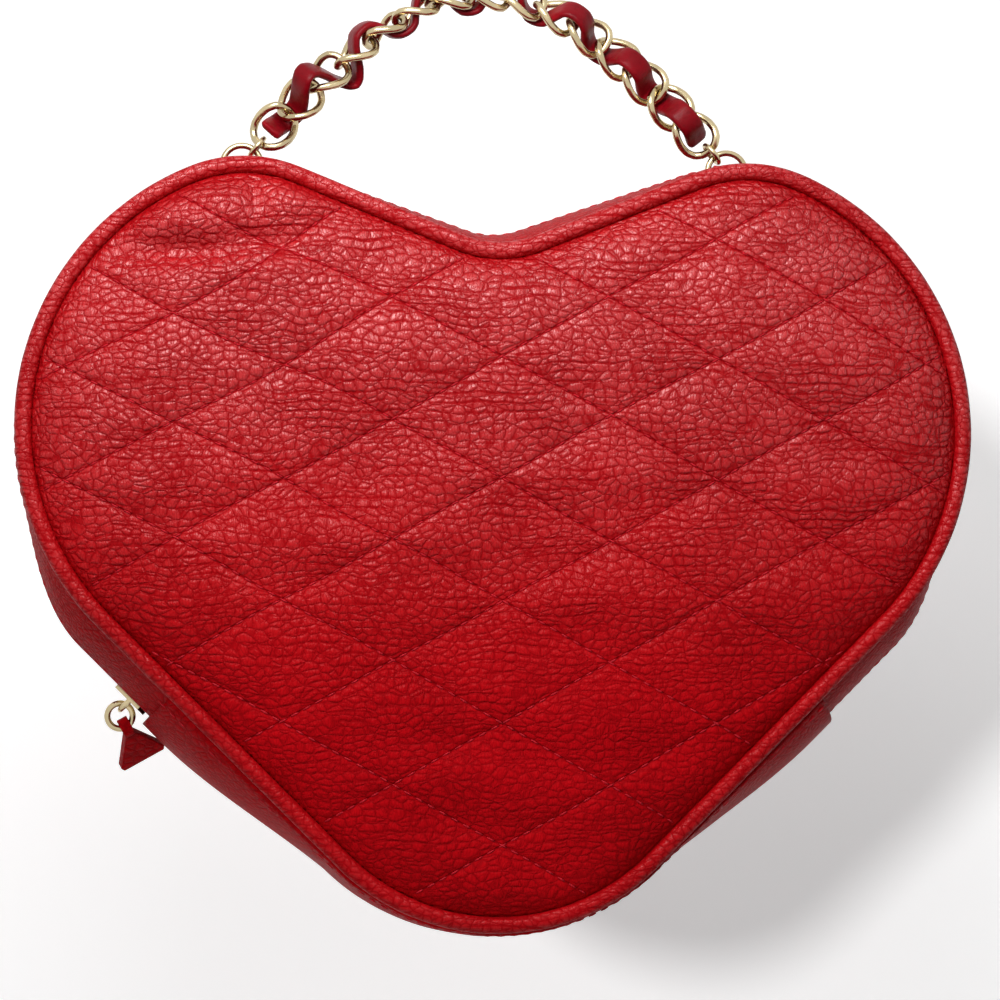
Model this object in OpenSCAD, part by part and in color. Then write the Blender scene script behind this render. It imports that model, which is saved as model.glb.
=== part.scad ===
// Heart shaped purse, held upright by the top of its strap. Front faces -Y, left is -X.
// Every piece is drawn round the middle of the heart's lobes and then moved by in_frame,
// so that the origin is the point where the strap is held.

/* [Heart outline] */
// Half the distance between the two lobe centres
lobe_x = 50; // [40:0.5:60]
// Radius of a lobe's outer side, to the middle of the piping
side_r = 68.5; // [60:0.5:76]
// Radius of a lobe's rounded top
top_r = 34.5; // [26:0.5:42]
// Direction in which the side meets the rounded top, in degrees above level
top_angle = 66.5; // [60:0.5:75]
// Slope of the edge that runs down to the notch, in degrees
flank_angle = 22; // [18:0.5:26]
// Radius of the notch
notch_r = 27; // [20:0.5:34]
// Direction that the lower edge faces, in degrees below level
lower_angle = 45; // [42:0.5:48]
// Radius of the rounded tip
tip_r = 55; // [45:0.5:62]

/* [Bag] */
// Half the width of the gusset, front seam to back seam
gusset_half = 25; // [20:0.5:32]
// Radius of the piping
piping_r = 1.9; // [1.5:0.1:2.4]
// Thickness of the gusset leather
leather_t = 1.6; // [1.2:0.1:2.2]
// Thickness of a panel with its padding
panel_t = 2.6; // [2:0.1:4]
// How far a panel swells beyond its seam
panel_crown = 9; // [6:0.5:12]
// Thickness of the lining
lining_t = 0.8; // [0.5:0.1:1.2]
// How far the gusset swells along the lower sides
crown_low = 8.5; // [6:0.5:12]
// Direction in which the gusset starts to swell below a lobe, in degrees below level
swell_start = 15; // [0:1:30]
// How far the gusset swells round the lobes
crown_lobe = 2; // [1.5:0.5:5]
// How far the gusset swells beside the notch
crown_flank = 6; // [3:0.5:8]
// How far the gusset swells at the tip
crown_tip = 1.2; // [0.6:0.2:4]
// Depth of the zip's two ends below the lobe centres
zip_end_drop = 70.5; // [69:0.5:76]
// Depth of the line on which the front folds open
fold_drop = 50; // [49:0.5:52]

/* [Quilting] */
// Distance sideways between crossings of the sewn lines
quilt_column = 27.2; // [24:0.2:30]
// Distance upward between crossings of the sewn lines
quilt_row = 15.2; // [13:0.2:17]
// Height of one crossing above the lobe centres
quilt_start = 17.35; // [10:0.05:25]
// Depth of a sewn line below the padding between the lines
quilt_depth = 1.4; // [0.8:0.1:1.6]

/* [Zip] */
// Distance from one tooth to the next
tooth_pitch = 4; // [3:0.25:5]
// Length of a tooth along the zip
tooth_l = 2.2; // [1.6:0.1:2.6]
// Height of a tooth, from inside to outside
tooth_h = 2; // [1.6:0.1:2.4]
// Distance from the middle of the zip to a tooth's head
tooth_head = 0.6; // [0.5:0.05:0.9]
// Distance from the middle of the zip to a tooth's root
tooth_root = 2.8; // [2.4:0.1:3.2]
// Thickness of the zip tape
tape_t = 0.6; // [0.4:0.05:0.8]
// Width of one zip tape
tape_w = 10; // [8:0.5:12]
// Distance from the middle of the zip to the leather beside it
strip_edge = 6.5; // [5.8:0.1:8]
// Length of the slider
slider_l = 10; // [8:0.25:12]
// Width of the slider
slider_w = 9; // [8:0.25:10]
// Thickness of each plate of the slider
slider_plate = 1.2; // [1:0.1:1.5]
// Radius of the wire that the pull ring is bent from
pull_wire_r = 0.8; // [0.7:0.05:0.9]
// Radius of the pull ring, to the middle of its wire
pull_ring_r = 3.2; // [2.8:0.1:3.8]
// Width of the leather pull at its free end
pull_w = 12.5; // [9:0.5:14]
// Length of the leather pull
pull_l = 14; // [12:0.5:16]

/* [Strap] */
// Radius of the wire of a chain link
link_wire_r = 1; // [0.8:0.05:1.1]
// Nearest length that each link adds to the chain
link_pitch = 9.7; // [9.2:0.1:10.4]
// Outer width of a chain link
link_w = 12; // [11:0.25:13]
// How far a link's wire leaves the flat, so that the links interlock
link_twist_rise = 1.9; // [1.8:0.05:2.1]
// Radius of the chain's bend at the top
arch_top_r = 42; // [38:0.5:46]
// Angle that half of the top bend turns through
arch_top_angle = 35; // [31:0.5:38]
// Angle that each leg turns through
arch_leg_angle = 15.4; // [13:0.2:17]
// Width of the leather lace
lace_w = 5.6; // [4.5:0.1:6.2]
// Thickness of the leather lace
lace_t = 1.4; // [1.1:0.1:1.6]
// Radius of the wire of the D-rings
d_ring_wire_r = 0.8; // [0.7:0.05:0.9]
// Width of a D-ring, between wire middles
d_ring_w = 10; // [9.75:0.25:12]
// Width of the leather tab that holds a D-ring
tab_w = 7; // [5:0.25:7.5]

/* [Hidden] */
$fn = 48;

// Clearances: between sewn layers, between moving pieces, and the overrun of a cut
layer_gap = 0.3;
run_gap = 0.25;
hinge_gap = 0.08;
fold_gap = 2 * layer_gap;
overrun = 1;
tab_leather_t = 0.8;

// The heart as arcs that meet smoothly. A spot is [x, z, outward x, outward z, gusset swell].
top_c = [lobe_x + (side_r - top_r) * cos(top_angle), (side_r - top_r) * sin(top_angle)];
flank_out = [-sin(flank_angle), cos(flank_angle)];
flank_reach = (top_c + top_r * flank_out) * flank_out;
notch_z = (flank_reach + notch_r) / cos(flank_angle);
low_out = [cos(lower_angle), -sin(lower_angle)];
low_reach = [lobe_x, 0] * low_out + side_r;
tip_z = -(low_reach - tip_r) / sin(lower_angle);
tip_start_z = tip_z - tip_r * sin(lower_angle);

function smooth(t) = let(u = min(1, max(0, t))) u * u * (3 - 2 * u);
function mix(a, b, t) = a + (b - a) * t;
function arc_spots(c, r, a0, a1, steps, swell0, swell1, first = 0) =
    [for (i = [first:steps]) let(a = mix(a0, a1, i / steps))
        [c[0] + r * cos(a), c[1] + r * sin(a), cos(a), sin(a), mix(swell0, swell1, smooth(i / steps))]];
function low_spot(z, swell = crown_low) =
    [(low_reach + z * sin(lower_angle)) / cos(lower_angle), z, low_out[0], low_out[1], swell];
function mirrored(spots) = [for (i = [len(spots) - 1:-1:0]) let(s = spots[i])
    [-s[0], s[1], -s[2], s[3], s[4]]];

// The right half, from the notch down to the tip, in three runs
notch_arc = arc_spots([0, notch_z], notch_r, -90, flank_angle - 90, 3, crown_flank, crown_flank);
notch_spots = [for (s = notch_arc) [s[0], s[1], -s[2], -s[3], s[4]]];
flank_end_swell = mix(crown_lobe, crown_flank, 0.4);
lobe_run = concat(notch_spots,
    arc_spots(top_c, top_r, 90 + flank_angle, 90, 3, flank_end_swell, crown_lobe),
    arc_spots(top_c, top_r, 90, top_angle, 3, crown_lobe, crown_lobe, 1),
    arc_spots([lobe_x, 0], side_r, top_angle, -swell_start, 8, crown_lobe, crown_lobe, 1),
    arc_spots([lobe_x, 0], side_r, -swell_start, -lower_angle, 4, crown_lobe, crown_low, 1));
upper_run = concat(lobe_run, [low_spot(-fold_drop)]);
side_run = [low_spot(-fold_drop - fold_gap), low_spot(-zip_end_drop)];
tip_steps = 5;
function tip_swell(i) = mix(crown_low, crown_tip, smooth(i / tip_steps));
tip_arc = arc_spots([0, tip_z], tip_r, -lower_angle, -90, 6, tip_swell(tip_steps - 1), crown_tip);
tip_run = concat(
    [for (i = [0:tip_steps - 2])
        low_spot(mix(-zip_end_drop, tip_start_z, i / (tip_steps - 1)), tip_swell(i))],
    tip_arc);

function without_first(list) = [for (i = [1:len(list) - 1]) list[i]];
function without_last(list) = [for (i = [0:len(list) - 2]) list[i]];
right_zip_run = concat(without_last(upper_run), side_run);
flap_spots = concat(mirrored(upper_run), without_first(upper_run));
zip_spots = concat(mirrored(right_zip_run), without_first(right_zip_run));
tip_spots = concat(tip_run, without_first(mirrored(tip_run)));

// Outlines of a panel moved inward by "inset": the whole heart, the part above the fold and the
// part below it, whose ends stay level with the fold at every inset
function fold_spot(inset, z) = low_spot(z - inset * sin(lower_angle));
whole_edge = function(inset) concat(mirrored(lobe_run), without_first(lobe_run), tip_arc,
    without_first(mirrored(tip_arc)));
flap_edge = function(inset) let(right = concat(lobe_run, [fold_spot(inset, -fold_drop)]))
    concat(mirrored(right), without_first(right));
tip_edge = function(inset) let(right = concat([fold_spot(inset, -fold_drop - fold_gap)], tip_arc))
    concat(right, without_first(mirrored(right)));

// Strap route: two gentle legs and a rounder top, by distance from its left end
jump_wire_r = 0.65;
chain_play = 0.25;
jump_r = jump_wire_r + d_ring_wire_r + link_wire_r + 1.5 * chain_play;
d_ring_r = d_ring_w / 2;
end_turn = arch_top_angle + arch_leg_angle;
ring_to_bar = d_ring_r + 2 * (jump_r - jump_wire_r) - d_ring_wire_r - 1.5 * chain_play;
bar_x = top_c[0];
arch_leg_r = (bar_x - ring_to_bar * cos(end_turn) - arch_top_r * sin(arch_top_angle))
    / (sin(end_turn) - sin(arch_top_angle));
top_half_l = arch_top_r * arch_top_angle * PI / 180;
strap_l = 2 * (top_half_l + arch_leg_r * arch_leg_angle * PI / 180);
link_count = round(strap_l / link_pitch);
pitch = strap_l / link_count;
link_l = pitch + 4 * link_wire_r + chain_play;
function arc_turn(l, r) = l / r * 180 / PI;
function heading(s) = let(
    u = abs(s - strap_l / 2),
    leg_turn = arch_top_angle + arc_turn(u - top_half_l, arch_leg_r),
    turn = u < top_half_l ? arc_turn(u, arch_top_r) : leg_turn) s < strap_l / 2 ? turn : -turn;
function drop_point(turn) = turn < arch_top_angle
    ? arch_top_r * [sin(turn), cos(turn) - 1]
    : arch_top_r * [sin(arch_top_angle), cos(arch_top_angle) - 1]
        + arch_leg_r * [sin(turn) - sin(arch_top_angle), cos(turn) - cos(arch_top_angle)];

// The D-rings lie on the line of the strap's ends, above the highest point of each lobe
function swell_at(swell, y) = swell * (1 - pow(y / gusset_half, 2));
tab_bore_r = d_ring_wire_r + hinge_gap;
tab_loop_r = tab_bore_r + tab_leather_t;
bar_y = slider_w / 2 + tab_loop_r + 2 * run_gap;
lobe_top_z = top_c[1] + top_r;
bar_z = lobe_top_z + swell_at(crown_lobe, bar_y) + leather_t / 2 + tab_loop_r + layer_gap;
apex_z = bar_z + ring_to_bar * sin(end_turn) - drop_point(end_turn)[1];
carry_z = apex_z - link_w / 2;
function strap_point(s) = let(p = drop_point(abs(heading(s))))
    [s < strap_l / 2 ? -p[0] : p[0], apex_z + p[1]];

module in_frame() {
    translate([0, -bar_y, -carry_z])
        children();
}

// A closed skin through rings of equally many points. Its ends are ladders between the halves of
// the end rings, or fans to two middle points, or the last ring joins the first. With an open side,
// the gap between the last and the first points of all rings is closed flat. In a zigzag skin the
// diagonals of neighbouring faces meet.
module skin(rings, middles = [], ring_shut = false, open_side = false, zigzag = false) {
    n = len(rings[0]);
    m = len(rings);
    last = m - 1;
    points = concat([for (ring = rings) each ring], middles);
    function at(i, j) = (i % m) * n + j % n;
    function split(a, b, c, d, flipped) = flipped ? [[a, b, d], [b, c, d]] : [[a, c, d], [a, b, c]];
    sides = [for (i = [0:ring_shut ? last : last - 1], j = [0:open_side ? n - 2 : n - 1])
        each split(at(i, j), at(i, j + 1), at(i + 1, j + 1), at(i + 1, j), zigzag && (i + j) % 2 == 1)];
    ends = [for (j = [0:n / 2 - 2]) each [[at(0, n - 1 - j), at(0, n - 2 - j), at(0, j + 1), at(0, j)],
        [at(last, j), at(last, j + 1), at(last, n - 2 - j), at(last, n - 1 - j)]]];
    centre = len(points) - 2;
    fans = [for (j = [0:n - 1])
        each [[centre, at(0, j + 1), j], [centre + 1, at(last, j), at(last, j + 1)]]];
    ladders = [for (i = [0:m / 2 - 2]) each [[at(i, 0), at(i + 1, 0), at(last - i - 1, 0), at(last - i, 0)],
        [at(i + 1, n - 1), at(i, n - 1), at(last - i, n - 1), at(last - i - 1, n - 1)]]];
    rung = [[at(0, n - 1), at(0, 0), at(last, 0), at(last, n - 1)]];
    polyhedron(points, concat(sides, ring_shut ? [] : len(middles) > 0 ? fans : ends,
        open_side ? concat(ladders, rung) : []));
}

function beside(spot, out, y) = [spot[0] + spot[2] * out, y, spot[1] + spot[3] * out];

// A strip that runs along the gusset, from y0 to y1, its outer face "lift" above the gusset line
module strip(spots, y0, y1, lift, thick, steps = 3) {
    ys = [for (i = [0:steps]) mix(y0, y1, i / steps)];
    skin([for (s = spots) concat(
        [for (y = ys) beside(s, swell_at(s[4], y) + lift, y)],
        [for (i = [steps:-1:0]) beside(s, swell_at(s[4], ys[i]) + lift - thick, ys[i])])]);
}

// A panel that swells from its edge: shares of the crown, at shares of the way in to its flat middle
dome_depth = 29;
dome_shares = [[0, 0], [0.1, 0.36], [0.3, 0.68], [0.6, 0.9], [1, 1]];
plain_dome_shares = [[0, 0], [0.3, 0.68], [1, 1]];
module dome(edge_at, inset, base, thick, shares, middle_z, folds) {
    function ring(share, drop) = let(in = inset + dome_depth * share[0])
        [for (s = edge_at(in)) beside(s, -in, -base - panel_crown * share[1] + drop)];
    last = len(shares) - 1;
    inner = [for (i = [last:-1:0]) ring(shares[i], thick)];
    outer = [for (i = [0:last]) ring(shares[i], 0)];
    middles = [for (drop = [thick, 0]) [0, -base - panel_crown + drop, middle_z]];
    skin(concat(inner, outer), middles, open_side = folds);
}
module back_half() {
    mirror([0, 1, 0])
        children();
}

heart_middle = tip_z / 3;
tip_middle = tip_z - (tip_r - dome_depth) / 2;
lining_base = gusset_half - panel_t - layer_gap;

// Quilting: a slab of low pyramids whose valleys are the sewn lines. It trims a panel's crown, whose
// flat middle cuts the pyramids' peaks. It has an even number of rows more below its start than
// columns to a side, so that the lines cross where row and column numbers add up to an even number.
quilt_peak = 1;
module quilt_slab() {
    across = ceil((lobe_x + side_r) / quilt_column);
    up = ceil((lobe_top_z - quilt_start) / quilt_row);
    down = across + 2 * ceil(((quilt_start - tip_z + tip_r) / quilt_row - across) / 2);
    front_y = -gusset_half - panel_crown;
    function pad(i) = front_y + (i % 2 == 0 ? quilt_depth : -quilt_peak);
    skin([for (row = [-down:up]) let(z = quilt_start + row * quilt_row) concat(
        [for (i = [across:-1:-across]) [i * quilt_column, pad(row + i), z]],
        [for (i = [-across:across]) [i * quilt_column, 0, z]])], zigzag = true);
}
module quilted_dome(edge_at, middle_z, folds = true) {
    intersection() {
        dome(edge_at, piping_r + layer_gap, gusset_half, panel_t, dome_shares, middle_z, folds);
        quilt_slab();
    }
}
module lining_dome(edge_at, middle_z, folds = true) {
    dome(edge_at, piping_r + 2 * layer_gap, lining_base, lining_t, plain_dome_shares, middle_z, folds);
}
module back_panel() {
    color("firebrick") in_frame() back_half() quilted_dome(whole_edge, heart_middle, false);
}
module back_lining() {
    color("dimgray") in_frame() back_half() lining_dome(whole_edge, heart_middle, false);
}
module front_panel() {
    color("crimson") in_frame() quilted_dome(flap_edge, 0);
}
module front_panel_lower() {
    color("crimson") in_frame() quilted_dome(tip_edge, tip_middle);
}
module front_lining() {
    color("dimgray") in_frame() lining_dome(flap_edge, 0);
}
module front_lining_lower() {
    color("dimgray") in_frame() lining_dome(tip_edge, tip_middle);
}

// Piping: a leather-covered cord along the seam, its place between panel and gusset
piping_y = gusset_half + piping_r - layer_gap;
piping_sides = 8;
module both_sides() {
    children();
    mirror([1, 0, 0])
        children();
}
module piping(spots, ring_shut = false) {
    skin([for (s = spots) [for (j = [0:piping_sides - 1]) let(a = 360 * j / piping_sides)
        beside(s, piping_r * cos(a), piping_y + piping_r * sin(a))]], [], ring_shut);
}
module back_piping() {
    color("firebrick") in_frame() piping(whole_edge(0), true);
}
module front_piping() {
    color("crimson") in_frame() back_half() piping(flap_edge(0));
}
module front_piping_lower() {
    color("crimson") in_frame() back_half() piping(tip_edge(0));
}

// Gusset: leather beside the zip, and the piece under the tip that laps over the zip's ends
strip_out = leather_t / 2;
strip_end = gusset_half - layer_gap;
lining_end = lining_base - lining_t - layer_gap;
module zip_strip(spots) {
    strip(spots, strip_edge, strip_end, strip_out, leather_t);
}
module rear_zip_strip() {
    color("firebrick") in_frame() zip_strip(zip_spots);
}
module front_zip_strip() {
    color("crimson") in_frame() back_half() zip_strip(flap_spots);
}
module front_strip_lower() {
    color("crimson") in_frame() back_half() both_sides() zip_strip(side_run);
}
lap_l = 7;
lap_start = [low_spot(-zip_end_drop + lap_l * sin(lower_angle))];
lap_spots = concat(lap_start, tip_spots, mirrored(lap_start));
module lower_gusset() {
    color("crimson") in_frame()
        strip(lap_spots, -strip_end, strip_end, strip_out + layer_gap + leather_t, leather_t, 8);
}
module lower_gusset_lining() {
    color("dimgray") in_frame()
        strip(tip_spots, -lining_end, lining_end, tape_lift - tape_t - layer_gap, lining_t, 8);
}

// Zip: tapes under the leather, and teeth on the tapes' edges, placed by distance along the zip
tape_lift = -strip_out - layer_gap;
tape_edge = tooth_root + layer_gap / 3;
module tape(spots) {
    strip(spots, tape_edge, tape_edge + tape_w, tape_lift, tape_t, 2);
}
module rear_zip_tape() {
    color("darkred") in_frame() tape(zip_spots);
}
module front_zip_tape() {
    color("darkred") in_frame() back_half() tape(flap_spots);
}
module front_tape_lower() {
    color("darkred") in_frame() back_half() both_sides() tape(side_run);
}

tooth_line = tape_lift - tape_t / 2;
function zip_line(spots) = [for (s = spots)
    [s[0] + s[2] * (s[4] + tooth_line), s[1] + s[3] * (s[4] + tooth_line), s[2], s[3]]];
function step_l(line, i) = norm([line[i + 1][0] - line[i][0], line[i + 1][1] - line[i][1]]);
function reach(line) = [for (i = 0, l = 0; i < len(line);
    l = l + (i < len(line) - 1 ? step_l(line, i) : 0), i = i + 1) l];
function place(line, at, s) = let(i = max([for (k = [0:len(line) - 2]) if (at[k] <= s) k]))
    mix(line[i], line[i + 1], (s - at[i]) / (at[i + 1] - at[i]));

// Stands at a place on the zip with +X outward, +Y across and +Z towards the next spot backwards
module at_place(p) {
    translate([p[0], 0, p[1]])
        rotate([0, -atan2(p[3], p[2]), 0])
            children();
}
module tooth() {
    translate([-tooth_h / 2, tooth_head, -tooth_l / 2])
        cube([tooth_h, tooth_root - tooth_head, tooth_l]);
}
module teeth(spots, margin, shift = 0) {
    line = zip_line(spots);
    at = reach(line);
    run = at[len(at) - 1] - 2 * margin;
    count = floor(run / tooth_pitch);
    for (i = [0:count - 1])
        at_place(place(line, at, margin + (run - (count - 1) * tooth_pitch) / 2 + shift + i * tooth_pitch))
            tooth();
}
teeth_margin = lap_l + tooth_l;
module rear_zip_teeth() {
    color("darkred") in_frame() teeth(zip_spots, teeth_margin);
}
module front_zip_teeth() {
    color("darkred") in_frame() back_half() teeth(flap_spots, tooth_l, tooth_pitch / 2);
}
low_teeth_spots = [side_run[0], low_spot(-zip_end_drop + teeth_margin * sin(lower_angle))];
module front_teeth_lower() {
    color("darkred") in_frame() back_half() both_sides() teeth(low_teeth_spots, tooth_l / 2);
}

// Stops: two short clamps beside the slider, and one box across both tapes at the far end
stop_l = 3;
closed_line = zip_line(mirrored([low_spot(-fold_drop), low_spot(-zip_end_drop)]));
function closed_place(back) = place(closed_line, reach(closed_line), back);
stop_at = lap_l - stop_l / 2 - layer_gap;
module zip_top_stop() {
    color("goldenrod") in_frame() at_place(closed_place(stop_at))
        for (side = [0, 1])
            mirror([0, side, 0])
                translate([-tooth_h / 2 - layer_gap, tooth_head, -stop_l / 2])
                    cube([tooth_h + 2 * layer_gap, tooth_root - tooth_head, stop_l]);
}
module zip_bottom_stop() {
    color("goldenrod") in_frame() mirror([1, 0, 0]) at_place(closed_place(stop_at))
        translate([-tooth_h / 2 - layer_gap, -tooth_root, -stop_l / 2])
            cube([tooth_h + 2 * layer_gap, 2 * tooth_root, stop_l]);
}

// The pull's ring leans a little from square, which lifts the part of it that runs through the bridge
ring_lean = 20;
ring_lift = pull_ring_r * (1 - cos(ring_lean));

// Slider: two plates with rims round the teeth, a post between them and a bridge for the ring
slider_at = lap_l + slider_l / 2 + 2 * run_gap;
plate_in = tooth_h / 2 + run_gap;
plate_out = plate_in + slider_plate;
rim_in = tape_t / 2 + run_gap;
tape_sag = crown_low - swell_at(crown_low, slider_w / 2);
bridge_wire_r = 0.75;
bridge_r = 2 * (pull_wire_r + run_gap) + ring_lift + 1.5 * bridge_wire_r;
post_w = 2 * (tooth_head - run_gap);
post_l = 1.5;
tail_w = 0.8 * slider_w;
module slider_plate_shape() {
    shoulder = slider_l / 5;
    half = slider_w / 2;
    tail = tail_w / 2;
    polygon([[-slider_l / 2, -tail], [shoulder / 2, -half], [slider_l / 2 - shoulder, -half],
        [slider_l / 2, -half + shoulder], [slider_l / 2, half - shoulder], [slider_l / 2 - shoulder, half],
        [shoulder / 2, half], [-slider_l / 2, tail]]);
}
module slider_plate_at(out0, out1) {
    translate([out0, 0, 0])
        rotate([0, 90, 0])
            mirror([1, 0, 0])
                linear_extrude(out1 - out0)
                    slider_plate_shape();
}
module slider_body() {
    difference() {
        slider_plate_at(-plate_out, plate_out);
        translate([-plate_in, -tooth_root - run_gap, -slider_l / 2 - overrun])
            cube([2 * plate_in, 2 * (tooth_root + run_gap), slider_l + 2 * overrun]);
        translate([-rim_in - tape_sag, -slider_w / 2 - overrun, -slider_l / 2 - overrun])
            cube([2 * rim_in + tape_sag, slider_w + 2 * overrun, slider_l + 2 * overrun]);
    }
    translate([-plate_out + slider_plate / 2, -post_w / 2, slider_l / 2 - post_l - run_gap])
        cube([2 * plate_out - slider_plate, post_w, post_l]);
    translate([plate_out - bridge_wire_r / 2, 0, 0])
        rotate([0, 0, -90])
            rotate_extrude(angle = 180)
                translate([bridge_r, 0])
                    circle(bridge_wire_r);
}
module zip_slider() {
    color("goldenrod") in_frame() at_place(closed_place(slider_at)) slider_body();
}

// Pull: a ring through the bridge, and a leather tab folded on it
ring_rise = plate_out + pull_wire_r + run_gap + ring_lift;
slider_place = closed_place(slider_at);
out_angle = atan2(slider_place[3], slider_place[2]);
hinge_p = [slider_place[0], slider_place[1]] + ring_rise * [cos(out_angle), sin(out_angle)];
ring_angle = out_angle + ring_lean;
ring_c = hinge_p + pull_ring_r * [cos(ring_angle), sin(ring_angle)];
tab_angle = ring_angle + 54;
fold_p = ring_c + pull_ring_r * [cos(tab_angle), sin(tab_angle)];
pull_back = 50;
pull_leather_t = 1.2;
pull_neck_w = 2.8;
pull_sag = pull_ring_r - sqrt(pow(pull_ring_r, 2) - pow(pull_neck_w / 2, 2));
pull_bore_r = pull_wire_r + pull_sag + run_gap;
module pull_ring() {
    color("goldenrod") in_frame() translate([ring_c[0], 0, ring_c[1]])
        rotate([90, 0, 0])
            rotate_extrude()
                translate([pull_ring_r, 0])
                    circle(pull_wire_r);
}
module pull_tab_body() {
    loop_r = pull_bore_r + pull_leather_t;
    intersection() {
        translate([0, 0, -pull_w / 2])
            linear_extrude(pull_w)
                difference() {
                    union() {
                        circle(loop_r);
                        translate([0, -pull_leather_t])
                            square([pull_l, 2 * pull_leather_t]);
                    }
                    circle(pull_bore_r);
                }
        rotate([90, 0, 0])
            translate([0, 0, -loop_r - overrun])
                linear_extrude(2 * (loop_r + overrun))
                    polygon([[-loop_r - overrun, -pull_neck_w / 2], [loop_r, -pull_neck_w / 2],
                        [pull_l - pull_leather_t, -pull_w / 2], [pull_l + overrun, -pull_w / 2 + overrun],
                        [pull_l + overrun, pull_w / 2 - overrun], [pull_l - pull_leather_t, pull_w / 2],
                        [loop_r, pull_neck_w / 2], [-loop_r - overrun, pull_neck_w / 2]]);
    }
}
module pull_tab() {
    color("crimson") in_frame() translate([fold_p[0], 0, fold_p[1]])
        rotate([0, -tab_angle, 0])
            rotate([0, 0, pull_back])
                pull_tab_body();
}

// Strap tabs: leather folded round the straight bar of a D-ring and sewn to the rear strip
module tab_profile() {
    tail_end = strip_end - piping_r;
    steps = 3;
    ys = [for (i = [0:steps]) mix(bar_y, tail_end, i / steps)];
    function seat(y) = lobe_top_z + swell_at(crown_lobe, y) + strip_out + layer_gap;
    difference() {
        union() {
            translate([bar_y, bar_z])
                circle(tab_loop_r);
            polygon(concat([for (y = ys) [y, seat(y)]],
                [for (i = [steps:-1:0]) [ys[i], seat(ys[i]) + 2 * tab_leather_t]]));
        }
        translate([bar_y, bar_z])
            circle(tab_bore_r);
    }
}
module strap_tab() {
    translate([bar_x - tab_w / 2, 0, 0])
        rotate([90, 0, 90])
            linear_extrude(tab_w)
                tab_profile();
}
module strap_tab_left() {
    color("crimson") in_frame() mirror([1, 0, 0]) strap_tab();
}
module strap_tab_right() {
    color("crimson") in_frame() strap_tab();
}

// D-ring: straight bar in the tab, half round above it
module d_ring() {
    translate([bar_x, bar_y, bar_z]) {
        translate([-d_ring_r, 0, 0])
            rotate([0, 90, 0])
                cylinder(r = d_ring_wire_r, h = d_ring_w);
        rotate([90, 0, 0])
            rotate_extrude(angle = 180)
                translate([d_ring_r, 0])
                    circle(d_ring_wire_r);
        for (side = [-1, 1])
            translate([side * d_ring_r, 0, 0])
                sphere(d_ring_wire_r);
    }
}
module d_ring_left() {
    color("goldenrod") in_frame() mirror([1, 0, 0]) d_ring();
}
module d_ring_right() {
    color("goldenrod") in_frame() d_ring();
}

// Jump ring between D-ring and last link, square to both
end_dir = [-cos(end_turn), sin(end_turn)];
jump_c = [bar_x, bar_z] + (d_ring_r - d_ring_wire_r - chain_play - jump_wire_r + jump_r) * end_dir;
module jump_ring() {
    translate([jump_c[0], bar_y, jump_c[1]])
        rotate([0, end_turn, 0])
            rotate_extrude()
                translate([jump_r, 0])
                    circle(jump_wire_r);
}
module jump_ring_left() {
    color("goldenrod") in_frame() mirror([1, 0, 0]) jump_ring();
}
module jump_ring_right() {
    color("goldenrod") in_frame() jump_ring();
}

// Curb link: an oval whose wire rises and falls twice, so that links hook through each other flat
link_rings = 16;
link_sides = 6;
link_mid_l = link_l / 2 - link_wire_r;
link_mid_w = link_w / 2 - link_wire_r;
module link() {
    function middle(t) = [link_mid_l * cos(t), link_mid_w * sin(t), link_twist_rise * sin(2 * t)];
    function along(t) = [-link_mid_l * sin(t), link_mid_w * cos(t), 2 * link_twist_rise * cos(2 * t)];
    function unit(v) = v / norm(v);
    function wire(t) = let(
        d = unit(along(t)),
        outward = [cos(t), sin(t), 0],
        u = unit(outward - (outward * d) * d),
        v = cross(d, u))
        [for (j = [0:link_sides - 1]) let(a = 360 * j / link_sides)
            middle(t) + link_wire_r * (cos(a) * u + sin(a) * v)];
    n = link_sides;
    points = [for (i = [0:link_rings - 1]) each wire(360 * i / link_rings)];
    faces = [for (i = [0:link_rings - 1], j = [0:n - 1]) let(i2 = (i + 1) % link_rings, k = (j + 1) % n)
        each [[i * n + j, i2 * n + k, i * n + k], [i * n + j, i2 * n + j, i2 * n + k]]];
    polyhedron(points, faces);
}

// The left leg is turned edge-on to the front, and turns back flat over the top
turn_fast = 4;
turn_hold = 5;
turn_slow = 8;
edge_turn = -80;
function turn_at(k) = edge_turn * max(0, min(k / turn_fast, 1, 1 - (k - turn_hold) / turn_slow));
module chain(first, last) {
    for (k = [first:last]) {
        p = strap_point(k * pitch);
        q = strap_point((k + 1) * pitch);
        translate([(p[0] + q[0]) / 2, bar_y, (p[1] + q[1]) / 2])
            rotate([0, -atan2(q[1] - p[1], q[0] - p[0]), 0])
                rotate([90 + turn_at(k), 0, 0])
                    link();
    }
}
leg_links = floor(link_count * 3 / 8);
module chain_left() {
    color("goldenrod") in_frame() chain(0, leg_links - 1);
}
module chain_top() {
    color("goldenrod") in_frame() chain(leg_links, link_count - leg_links - 1);
}
module chain_right() {
    color("goldenrod") in_frame() chain(link_count - leg_links, link_count - 1);
}

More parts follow.
